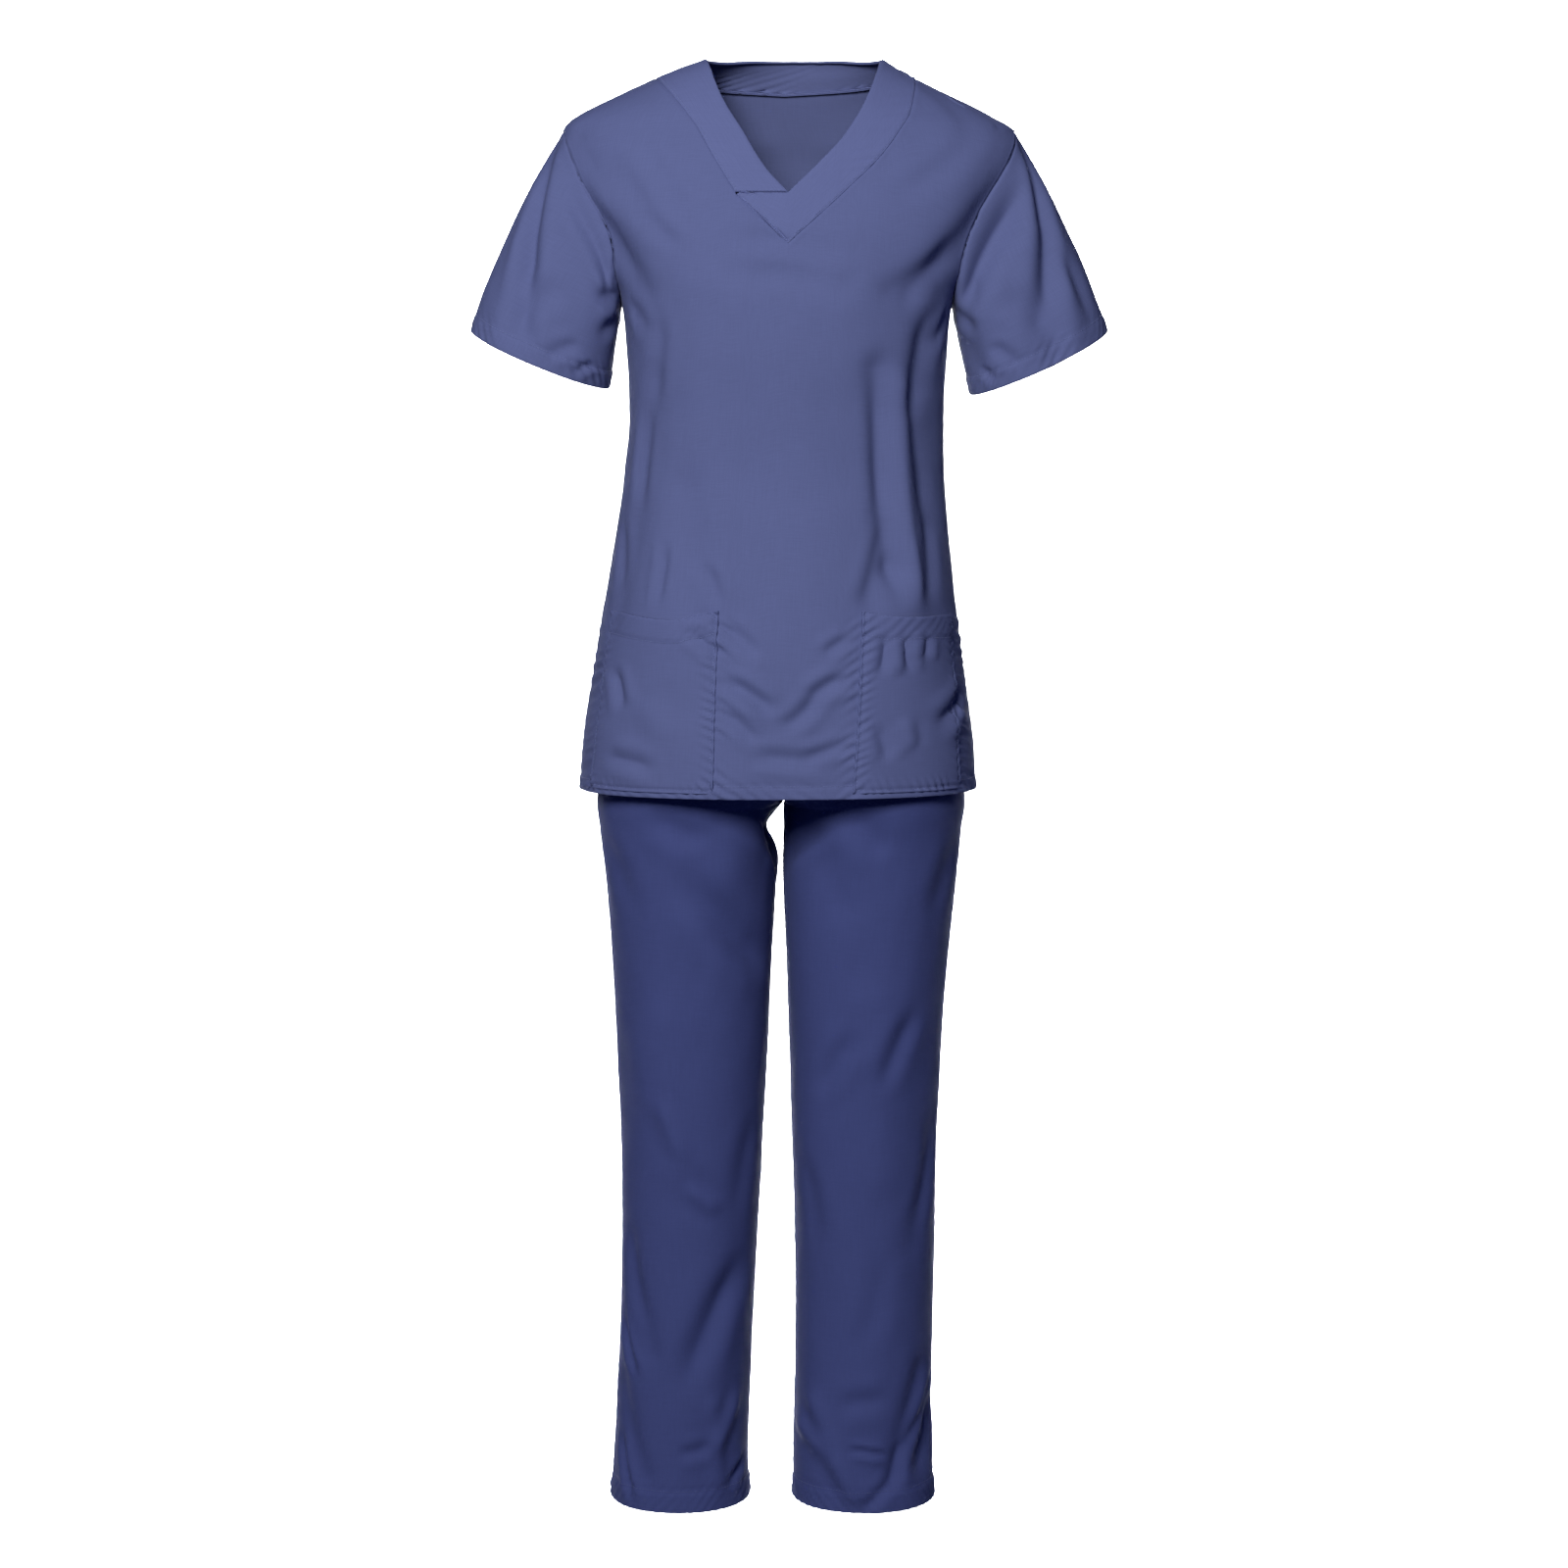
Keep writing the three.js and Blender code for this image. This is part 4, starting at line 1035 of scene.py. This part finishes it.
# The weave's own tone and relief, drawn at its true spacing
WEAVE_TONE = 0.035
WEAVE_RELIEF = 0.35
WEAVE_DEEP = 0.08 * MM
DARKEST_TONE = 0.88


def linear(colour):
    """An sRGB hex colour as linear red, green, blue and alpha."""
    parts = [int(colour[i:i + 2], 16) / 255 for i in (1, 3, 5)]
    return [p / 12.92 if p <= 0.04045 else ((p + 0.055) / 1.055) ** 2.4 for p in parts] + [1.0]


def node(tree, kind, settings=None, inputs=None, links=None):
    """Adds a node, sets its settings and input values, and links other nodes' outputs to its inputs."""
    made = tree.nodes.new(kind)
    for name, value in (settings or {}).items():
        setattr(made, name, value)
    for name, value in (inputs or {}).items():
        made.inputs[name].default_value = value
    for name, output in (links or {}).items():
        tree.links.new(output, made.inputs[name])
    return made


def woven_cloth(name, colour, roughness):
    """Plain-weave poly-cotton, piece-dyed and pressed: matt, with a faint bloom at grazing angles. The weave
    is two sets of threads that pass over and under by turns, on the cloth's own lengths."""
    material = bpy.data.materials.new(name)
    material.use_nodes = True
    tree = material.node_tree
    tree.nodes.clear()
    out = node(tree, "ShaderNodeOutputMaterial")
    shader = node(tree, "ShaderNodeBsdfPrincipled", inputs={
        "Roughness": roughness, "IOR": 1.46, "Specular IOR Level": 0.28,
        "Sheen Weight": 0.05, "Sheen Roughness": 0.45, "Sheen Tint": linear("#aeb6da")})
    lay = node(tree, "ShaderNodeUVMap", settings={"uv_map": "cloth"})
    split = node(tree, "ShaderNodeSeparateXYZ", links={"Vector": lay.outputs["UV"]})
    turns = 2 * math.pi / (2 * sewing("thread_spacing") * MM)
    waves = []
    for axis in ("X", "Y"):
        scaled = node(tree, "ShaderNodeMath", settings={"operation": "MULTIPLY"},
                      inputs={1: turns}, links={0: split.outputs[axis]})
        waves.append(node(tree, "ShaderNodeMath", settings={"operation": "SINE"},
                          links={0: scaled.outputs["Value"]}))
    weave = node(tree, "ShaderNodeMath", settings={"operation": "MULTIPLY"},
                 links={0: waves[0].outputs["Value"], 1: waves[1].outputs["Value"]})
    # Streaks along the warp and the weft
    streaks = []
    for scale in (YARN_STREAKS, YARN_STREAKS[::-1]):
        stretched = node(tree, "ShaderNodeMapping", inputs={"Scale": (*scale, 1.0)},
                         links={"Vector": lay.outputs["UV"]})
        streaks.append(node(tree, "ShaderNodeTexNoise", settings={"noise_dimensions": "2D"},
                            inputs={"Scale": 1.0, "Detail": 2.0},
                            links={"Vector": stretched.outputs["Vector"]}))
    both = node(tree, "ShaderNodeMath", settings={"operation": "ADD"},
                links={0: streaks[0].outputs["Fac"], 1: streaks[1].outputs["Fac"]})
    place = node(tree, "ShaderNodeTexCoord")
    cloud = node(tree, "ShaderNodeTexNoise", inputs={"Scale": DYE_CLOUDS, "Detail": 3.0, "Roughness": 0.5},
                 links={"Vector": place.outputs["Object"]})
    tone = node(tree, "ShaderNodeMath", settings={"operation": "MULTIPLY_ADD"},
                inputs={1: STREAK_TONE, 2: DARKEST_TONE}, links={0: both.outputs["Value"]})
    tone = node(tree, "ShaderNodeMath", settings={"operation": "MULTIPLY_ADD"},
                inputs={1: CLOUD_TONE}, links={0: cloud.outputs["Fac"], 2: tone.outputs["Value"]})
    tone = node(tree, "ShaderNodeMath", settings={"operation": "MULTIPLY_ADD"},
                inputs={1: WEAVE_TONE}, links={0: weave.outputs["Value"], 2: tone.outputs["Value"]})
    dyed = node(tree, "ShaderNodeVectorMath", settings={"operation": "SCALE"},
                inputs={0: linear(colour)[:3]}, links={"Scale": tone.outputs["Value"]})
    height = node(tree, "ShaderNodeMath", settings={"operation": "MULTIPLY_ADD"},
                  inputs={1: STREAK_HEIGHT}, links={0: both.outputs["Value"], 2: weave.outputs["Value"]})
    relief = node(tree, "ShaderNodeBump", inputs={"Strength": WEAVE_RELIEF, "Distance": WEAVE_DEEP},
                  links={"Height": height.outputs["Value"]})
    tree.links.new(dyed.outputs["Vector"], shader.inputs["Base Color"])
    tree.links.new(relief.outputs["Normal"], shader.inputs["Normal"])
    tree.links.new(shader.outputs["BSDF"], out.inputs["Surface"])
    return material


def sewing_thread(name, colour, roughness):
    """Spun polyester sewing thread: tightly twisted, so a little shinier than the cloth."""
    material = bpy.data.materials.new(name)
    material.use_nodes = True
    tree = material.node_tree
    tree.nodes.clear()
    out = node(tree, "ShaderNodeOutputMaterial")
    shader = node(tree, "ShaderNodeBsdfPrincipled", inputs={
        "Base Color": linear(colour), "Roughness": roughness, "IOR": 1.5, "Sheen Weight": 0.1})
    tree.links.new(shader.outputs["BSDF"], out.inputs["Surface"])
    return material


def floor_paint(name, colour):
    """Matt painted studio floor: even and pale, with no gloss."""
    material = bpy.data.materials.new(name)
    material.use_nodes = True
    shader = material.node_tree.nodes["Principled BSDF"]
    shader.inputs["Base Color"].default_value = linear(colour)
    shader.inputs["Roughness"].default_value = 0.9
    return material


# What a user can change

LENGTH = {"subtype": "DISTANCE", "unit": "LENGTH"}


class ScrubsSewing(bpy.types.PropertyGroup):
    """Sizes of the sewing."""
    cloth_thick: bpy.props.FloatProperty(
        name="Cloth thickness", description="How thick each panel is drawn", default=1.0 * MM, **LENGTH)
    band_thick: bpy.props.FloatProperty(
        name="Band thickness", description="How thick the doubled neck band is", default=1.6 * MM, **LENGTH)
    top_hem: bpy.props.FloatProperty(
        name="Top hem", description="Depth of the top's hem", default=12 * MM, **LENGTH)
    sleeve_hem: bpy.props.FloatProperty(
        name="Sleeve hem", description="Depth of the sleeve hems", default=17 * MM, **LENGTH)
    leg_hem: bpy.props.FloatProperty(
        name="Trouser hem", description="Depth of the trouser hems", default=21 * MM, **LENGTH)
    pocket_hem: bpy.props.FloatProperty(
        name="Pocket hem", description="Depth of the hem across each pocket's mouth", default=21 * MM,
        **LENGTH)
    stitch_long: bpy.props.FloatProperty(
        name="Stitch length", description="Length of a stitch that shows", default=2.4 * MM, **LENGTH)
    stitch_pitch: bpy.props.FloatProperty(
        name="Stitch pitch", description="From one stitch to the next", default=3.1 * MM, **LENGTH)
    thread_thick: bpy.props.FloatProperty(
        name="Thread thickness", description="Thickness of the sewing thread", default=0.45 * MM, **LENGTH)
    thread_spacing: bpy.props.FloatProperty(
        name="Thread spacing", description="Distance between the threads of the weave", default=0.45 * MM,
        **LENGTH)


class ScrubsColours(bpy.types.PropertyGroup):
    """Colours as sRGB hex values."""
    top: bpy.props.StringProperty(name="Top", description="Colour of the top's cloth", default="#5b638f")
    band: bpy.props.StringProperty(
        name="Neck band", description="Colour of the doubled neck band", default="#5f6794")
    trousers: bpy.props.StringProperty(
        name="Trousers", description="Colour of the trousers", default="#434c80")
    thread: bpy.props.StringProperty(
        name="Thread", description="Colour of the top's thread", default="#6a74a4")
    trouser_thread: bpy.props.StringProperty(
        name="Trouser thread", description="Colour of the trousers' thread", default="#4d578c")
    floor: bpy.props.StringProperty(name="Floor", description="Colour of the floor", default="#f4f4f4")


def sewing(name):
    """A sewing size in millimetres."""
    return getattr(bpy.context.scene.scrubs_sewing, name) / MM


# Each material: its name, the function that makes it, its colour's property and its roughness
MATERIALS = {
    "top_cloth": ("Plain-weave poly-cotton, top", woven_cloth, "top", 0.86),
    "neckband_cloth": ("Plain-weave poly-cotton, doubled", woven_cloth, "band", 0.86),
    "trouser_cloth": ("Plain-weave poly-cotton, trousers", woven_cloth, "trousers", 0.84),
    "top_thread": ("Spun polyester thread, top", sewing_thread, "thread", 0.6),
    "trouser_thread": ("Spun polyester thread, trousers", sewing_thread, "trouser_thread", 0.6),
}


def material_for(slot):
    """The material of a slot, made once."""
    name, make, part, roughness = MATERIALS[slot]
    colour = getattr(bpy.context.scene.scrubs_colours, part)
    return bpy.data.materials.get(name) or make(name, colour, roughness)


# The pieces

def beside_pockets(points, z):
    """The front panel's own puckers along the pockets' seams: ripples that fade away outside each seam's
    line, and begin below the mouth."""
    height, middle, width, pitch, slant = PANEL_RIPPLE
    amount = 0 * z
    for number, pocket in enumerate(POCKETS.values()):
        mouth, foot = pocket["mouth"], pocket["foot"]
        down = np.clip((z - mouth["z"][0]) / (POCKET_FOOT_Z - mouth["z"][0]), 0, 1)
        for end in (0, -1):
            line = mix(mouth["x"][end], foot[end], down)
            outside = (points[..., 0] - line) * (-1 if end == 0 else 1)
            rise = step((mouth["z"][0] - z) / PANEL_RIPPLES_FROM)
            ripple = pucker(z, outside, pitch, SEEDS["beside_pocket"] + 2 * number + end, slant)
            clear = step((outside + 1) / 3)
            ripple = height * clear * bell(outside - middle, width) * ripple
            amount += rise * (ripple + swell(outside, *PANEL_GROOVE))
    return amount


class SCRUBS_OT_body(bpy.types.Operator):
    """Front and back panels of the top"""
    bl_idname = "scrubs.body"
    bl_label = "Body panels"

    def execute(self, context):
        for face in ("front", "back"):
            seed = SEEDS["top_" + face]
            angle, z = panel_spots(face)
            points, normals = with_normals(torso, angle, z)
            right, left, top, bottom = from_edges(points)
            across = angle * TORSO_MM_PER_DEGREE
            amount = seam(right, z, seed) + seam(left, z, seed + 3)
            middle = step((HEM_FREE_HALF - np.abs(points[..., 0])) / HEM_FREE_OVER)
            free = HEM_RIPPLES_SIDE + HEM_RIPPLES_MORE * middle
            amount += (seam(top, across, seed + 6, NECK_SEAM_DEEP)
                       + hem(bottom, across, sewing("top_hem"), seed + 9, free))
            if face == "front":
                amount += beside_pockets(points, z)
            points = sewn(points, normals, amount)
            cloth_piece("top_" + face, points, normals, "top_cloth")
            keep_line("top", points, normals, bottom, sewing("top_hem"))
        return {"FINISHED"}


class SCRUBS_OT_sleeves(bpy.types.Operator):
    """Both set-in sleeves"""
    bl_idname = "scrubs.sleeves"
    bl_label = "Sleeves"

    def execute(self, context):
        around = np.arange(SLEEVE_AROUND) / SLEEVE_AROUND
        along = mix(SLEEVE_START, 1, spread(SLEEVE_ROWS, SLEEVE_MM_PER_LENGTH))
        for side, name in ((-1, "right"), (1, "left")):
            points = sleeve_form(side, around, along)
            normals = grid_normals(points, True)
            down = lengths(points, 0)
            top, bottom = np.abs(down - down[2]), down[-1:] - down
            across = around[None] * 2 * math.pi * SLEEVE_RADIUS
            amount = (seam(top, across, SEEDS["sleeve_seam"] + side)
                      + hem(bottom, across, sewing("sleeve_hem"), SEEDS["sleeve_hem"] + side))
            points = sewn(points, normals, amount)
            cloth_piece("sleeve_" + name, points, normals, "top_cloth", tube=True)
            closed = [np.concatenate([a, a[:, :1]], axis=1) for a in (points, normals, bottom)]
            keep_line("top", *closed, sewing("sleeve_hem"))
        return {"FINISHED"}


class SCRUBS_OT_neckband(bpy.types.Operator):
    """The flat neck band: two front pieces that lap under the V, and the back"""
    bl_idname = "scrubs.neckband"
    bl_label = "Neck band"

    def execute(self, context):
        wide = spread(BAND_COLUMNS, BAND_WIDE)[None]
        spots = {}
        for name, side, band, end in (("front_right", -1, band_right, 1), ("front_left", 1, band_left, 2)):
            even = np.linspace(0, end, BAND_ROWS[name] + 1)
            t = crowd(even, 1 / BAND_FRONT_LONG, 1 / BAND_LAP_LONG)[:, None]
            inner_x, inner_z, outer_x, outer_z = band(t)
            x, z = mix(inner_x, outer_x, wide), mix(inner_z, outer_z, wide)
            limit = seam_angle(z, "front")
            angle = np.clip(torso_angle(x, z), -limit, limit)
            spots[name] = (np.where(t == 0, side * limit, angle), z)
        part = spread(BAND_ROWS["back"], BAND_BACK_LONG)[:, None]
        round_by = mix(-90, 90, part)
        high, low = [read(BAND_BACK, "angle", name, np.abs(round_by)) for name in ("inner_z", "outer_z")]
        z = mix(high, low, wide)
        limit = seam_angle(z, "back")
        spots["back"] = (180 - np.clip(round_by + 0 * z, -limit, limit), z)
        for number, (name, (angle, z)) in enumerate(spots.items()):
            points, normals = with_normals(torso, angle, z)
            inner, outer, along, rest = from_edges(points)
            amount = BAND_SWELL + swell(inner, *BAND_INNER_EDGE) + swell(outer, *BAND_OUTER_EDGE)
            amount += swell(along, *BAND_END) + swell(rest, *BAND_END)
            ripple = pucker(along, inner, BAND_PITCH, SEEDS["neckband"] + number, BAND_SLANT)
            amount += BAND_PUCKERS[name] * ripple * bell(outer - BAND_PUCKER_AT, BAND_PUCKER_WIDE)
            points = sewn(points, normals, amount)
            cloth_piece("neckband_" + name, points, normals, "neckband_cloth", sewing("band_thick"))
            keep_line("top", points, normals, outer, BAND_STITCH, axis=1)
            if name == "back":
                keep_line("top", points, normals, outer, BACK_BAND_STITCH, axis=1)
            if name == "front_right":
                keep_line("top", points, normals, rest, LAP_STITCH)
        return {"FINISHED"}


class SCRUBS_OT_pockets(bpy.types.Operator):
    """Both patch pockets, lying on the front panel"""
    bl_idname = "scrubs.pockets"
    bl_label = "Pockets"

    def execute(self, context):
        height, middle, width, pitch, slant = POCKET_RIPPLE
        for number, (name, pocket) in enumerate(POCKETS.items()):
            across = spread(POCKET_COLUMNS, POCKET_WIDE)[None]
            down = spread(POCKET_ROWS, POCKET_LONG)[:, None]
            mouth, foot = pocket["mouth"], pocket["foot"]
            top = mix(mouth["x"][0], mouth["x"][-1], across)
            z = mix(read(mouth, "x", "z", top), POCKET_FOOT_Z, down)
            x = mix(top, mix(foot[0], foot[1], across), down)
            points, normals = with_normals(torso, torso_angle(x, z), z)
            inner, outer, fall, rise = from_edges(points)
            gape = POCKET_GAPE * np.sin(math.pi * across) ** 0.8 * bell(fall, POCKET_GAPE_DOWN)
            sag = POCKET_SAG * np.sin(math.pi * across) * np.sin(math.pi * down)
            amount = POCKET_CLEAR + sewing("cloth_thick") + gape + sag
            for away, along, k in ((inner, fall, 1), (outer, fall, 2), (rise, inner, 3)):
                ripple = pucker(along, away, pitch, SEEDS["pocket"] + 10 * number + k, slant)
                amount += swell(away, height, middle, width) * ripple
                amount += swell(away, *POCKET_EDGE) + swell(away, *POCKET_GROOVE)
            amount += hem(fall, inner, sewing("pocket_hem"), SEEDS["pocket_hem"] + number, POCKET_HEM_RIPPLES)
            points = sewn(points, normals, amount)
            cloth_piece("pocket_" + name, points, normals, "top_cloth")
            keep_line("top", points, normals, fall, sewing("pocket_hem"))
            for away, axis in ((rise, 0), (inner, 1), (outer, 1)):
                keep_line("top", points, normals, away, POCKET_STITCH, axis)
        return {"FINISHED"}


class SCRUBS_OT_trousers(bpy.types.Operator):
    """Four trouser panels"""
    bl_idname = "scrubs.trousers"
    bl_label = "Trouser panels"

    def execute(self, context):
        for side, where in ((-1, "right"), (1, "left")):
            for face in ("front", "back"):
                self.panel(side, where, face)
        return {"FINISHED"}

    def panel(self, side, where, face):
        """From the middle seam, or the inside leg seam, to the side seam, over all heights."""
        top = WAIST_Z - CASING_DEEP - CASING_GAP
        count = LEG_ROWS[face]
        rise = CROTCH_Z + (top - CROTCH_Z) * (1 - np.linspace(0, 1, count // 4)) ** CROTCH_CROWDING
        fall = np.linspace(CROTCH_Z, TROUSER_HEM_Z, count - count // 4 + 1)[1:]
        z = -crowd(-np.concatenate([rise, fall]), 0, 1)[:, None]
        to = 90 - np.degrees(SEAM_INSET / read(LEGS, "z", face, z))
        middle, half = leg_half(side, z)
        plane = read(LEGS, "z", "middle", z) + side * MIDDLE_SEAM
        cut = angle_of_share(side * (plane - middle) / half, read(LEGS, "z", "square", z))
        start = np.where(z > CROTCH_Z, np.maximum(-to, cut), -to)
        share = spread(LEG_COLUMNS[face], LEG_PANEL_WIDE)[None]
        angle = mix(start, to, share)
        angle = 180 - angle if face == "back" else angle
        points, normals = with_normals(leg(side), angle, z + 0 * angle, side)
        inner, outer, _, bottom = from_edges(points)
        seed = SEEDS["trousers"] + 20 * side + (7 if face == "back" else 0)
        amount = seam(inner, z + 0 * inner, seed) + seam(outer, z + 0 * inner, seed + 2)
        amount += hem(bottom, angle * LEG_MM_PER_DEGREE, sewing("leg_hem"), seed + 4)
        points = sewn(points, normals, amount)
        cloth_piece(f"trouser_{face}_{where}", points, normals, "trouser_cloth")
        keep_line("trousers", points, normals, bottom, sewing("leg_hem"))


class SCRUBS_OT_waistband(bpy.types.Operator):
    """The plain elastic casing under the top"""
    bl_idname = "scrubs.waistband"
    bl_label = "Waistband"

    def execute(self, context):
        around = np.arange(CASING_AROUND) / CASING_AROUND
        fall = spread(CASING_ROWS, CASING_DEEP)[:, None]
        z = WAIST_Z - CASING_DEEP * fall + 0 * around[None]
        angle = 360 * around[None] + 0 * z
        half = (read(LEGS, "z", "left_outer", z) - read(LEGS, "z", "right_outer", z)) / 2
        ripple = pucker(angle * CASING_MM_PER_DEGREE, 0 * z, GATHERS_PITCH, SEEDS["waistband"], 0)
        lift = GATHERS * np.sin(math.pi * fall) * ripple - CASING_IN
        points = section_point(LEGS, angle, z, read(LEGS, "z", "middle", z), half, lift, 1)
        normals = grid_normals(points, True)
        cloth_piece("waistband", points, normals, "trouser_cloth", CASING_THICK, tube=True)
        return {"FINISHED"}


class SCRUBS_OT_stitching(bpy.types.Operator):
    """The stitches along every hem, pocket and band, joined into one mesh for each garment"""
    bl_idname = "scrubs.stitching"
    bl_label = "Stitching"

    def execute(self, context):
        for garment, slot, thread in (("top", "top_cloth", "top_thread"),
                                      ("trousers", "trouser_cloth", "trouser_thread")):
            points, faces = zip(*[stitches(line, lean) for line, lean in STITCH_LINES[garment]])
            starts = np.cumsum([0] + [len(part) for part in points[:-1]])
            faces = np.concatenate([part + start for part, start in zip(faces, starts)])
            points = np.concatenate(points)
            mesh = bpy.data.meshes.new(garment + "_stitches")
            mesh.from_pydata((points * MM).tolist(), [], faces.tolist())
            mesh.polygons.foreach_set("use_smooth", np.ones(len(faces), bool))
            mesh.materials.append(material_for(thread))
            piece = placed(garment + "_stitches", mesh)
            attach(piece, "root")
        return {"FINISHED"}


class SCRUBS_OT_cut(bpy.types.Operator):
    """An empty step: it does nothing and leaves every piece as it is"""
    bl_idname = "scrubs.cut"
    bl_label = "State the cut"

    def execute(self, context):
        return {"FINISHED"}


# Lights: place, aim, size in metres, watts and spread in degrees. The last shines from behind, so that the
# back and sides can be seen there; nothing that faces the camera gets it
LIGHTS = {
    "key": ((-0.6, -2.7, 0.8), (0, 0, -0.5), 0.9, 81, 180),
    "floor_light": ((0, 2.5, 1.1), (0, 2.6, -1.7), 2.4, 380, 80),
    "wall_light": ((0, 1.3, 2.1), (0, 3.4, 0.2), 2.4, 300, 120),
    "back_light": ((0, 2.6, 0.1), (0, 0, -0.7), 1.6, 50, 180),
}
WORLD_COLOUR = "#7d97ff"
WORLD_STRENGTH = 0.08

# The floor bends up into a wall, in metres
FLOOR_Z = -1.75
FLOOR_FRONT_Y = -0.4
WALL_Y = 3.4
WALL_HIGH = 2.6
WALL_BEND = 0.9
FLOOR_HALF = 2.2
BEND_STEPS = 25

# The photograph's view: three metres in front, level with the hips, tilted down a little over five degrees.
# The lens is given in the photograph's own pixels
PHOTO_WIDE = 1600
LENS_PIXELS = 3224
SENSOR_WIDE = 36.0
CAMERA_PLACE = (-0.0019, -3.0, -0.4)
CAMERA_DOWN = 5.298


class SCRUBS_OT_stage(bpy.types.Operator):
    """Floor, backdrop, lights and camera"""
    bl_idname = "scrubs.stage"
    bl_label = "Stage"

    def execute(self, context):
        scene = context.scene
        quarter = np.linspace(0, math.pi / 2, BEND_STEPS)
        y = np.concatenate([[FLOOR_FRONT_Y], WALL_Y - WALL_BEND + WALL_BEND * np.sin(quarter), [WALL_Y]])
        z = np.concatenate([[0.0], WALL_BEND - WALL_BEND * np.cos(quarter), [WALL_HIGH]]) + FLOOR_Z
        line = np.stack([y, z], -1)
        verts = [(x, *p) for x in (-FLOOR_HALF, FLOOR_HALF) for p in line.tolist()]
        count = len(line)
        faces = [(k, k + 1, count + k + 1, count + k) for k in range(count - 1)]
        mesh = bpy.data.meshes.new("studio_floor")
        mesh.from_pydata(verts, [], [face[::-1] for face in faces])
        mesh.polygons.foreach_set("use_smooth", np.ones(len(faces), bool))
        mesh.materials.append(floor_paint("Matt studio paint", scene.scrubs_colours.floor))
        floor = placed("studio_floor", mesh)
        # The floor shows white but throws no light back on the cloth, as the photograph's sides stay dark
        floor.visible_diffuse = False
        for name, values in LIGHTS.items():
            self.light(name, *values)
        world = bpy.data.worlds.new("studio")
        scene.world = world
        world.use_nodes = True
        background = world.node_tree.nodes["Background"]
        background.inputs["Color"].default_value = linear(WORLD_COLOUR)
        background.inputs["Strength"].default_value = WORLD_STRENGTH
        scene.view_settings.view_transform = "Standard"
        camera = bpy.data.cameras.new("camera")
        camera.sensor_width = SENSOR_WIDE
        camera.lens = SENSOR_WIDE * LENS_PIXELS / PHOTO_WIDE
        camera.clip_end = 50
        holder = placed("camera", camera)
        holder.location = CAMERA_PLACE
        holder.rotation_euler = (math.radians(90 - CAMERA_DOWN), 0, 0)
        scene.camera = holder
        return {"FINISHED"}

    def light(self, name, place, aim, size, watts, spread):
        """A soft square light that looks at a point and shines no further round than its spread in degrees."""
        lamp = bpy.data.lights.new(name, "AREA")
        lamp.size = size
        lamp.energy = watts
        lamp.spread = math.radians(spread)
        holder = placed(name, lamp)
        holder.location = place
        way = np.array(aim, float) - np.array(place, float)
        tilt = math.atan2(math.hypot(way[0], way[1]), -way[2])
        holder.rotation_euler = (tilt, 0, math.atan2(-way[0], way[1]))
        holder.visible_camera = False


class SCRUBS_PT_sidebar(bpy.types.Panel):
    """The scrubs' sizes, colours and pieces"""
    bl_idname = "SCRUBS_PT_sidebar"
    bl_label = "Medical scrubs"
    bl_space_type = "VIEW_3D"
    bl_region_type = "UI"
    bl_category = "Scrubs"

    def draw(self, context):
        for group in (context.scene.scrubs_sewing, context.scene.scrubs_colours):
            for name in group.__annotations__:
                self.layout.prop(group, name)
        for operator in OPERATORS:
            self.layout.operator(operator.bl_idname)


OPERATORS = (SCRUBS_OT_body, SCRUBS_OT_sleeves, SCRUBS_OT_neckband, SCRUBS_OT_pockets, SCRUBS_OT_trousers,
             SCRUBS_OT_waistband, SCRUBS_OT_stitching, SCRUBS_OT_cut, SCRUBS_OT_stage)
CLASSES = (ScrubsSewing, ScrubsColours, *OPERATORS, SCRUBS_PT_sidebar)


def register():
    """Makes the classes known and hangs the two groups of values on the scene."""
    for part in CLASSES:
        bpy.utils.register_class(part)
    bpy.types.Scene.scrubs_sewing = bpy.props.PointerProperty(type=ScrubsSewing)
    bpy.types.Scene.scrubs_colours = bpy.props.PointerProperty(type=ScrubsColours)


def unregister():
    """Takes back what register did."""
    del bpy.types.Scene.scrubs_sewing
    del bpy.types.Scene.scrubs_colours
    for part in reversed(CLASSES):
        bpy.utils.unregister_class(part)


def main():
    """Runs every operator in order."""
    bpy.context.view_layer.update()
    register()
    for operator in OPERATORS:
        group, name = operator.bl_idname.split(".")
        getattr(getattr(bpy.ops, group), name)()


if __name__ == "__main__":
    main()
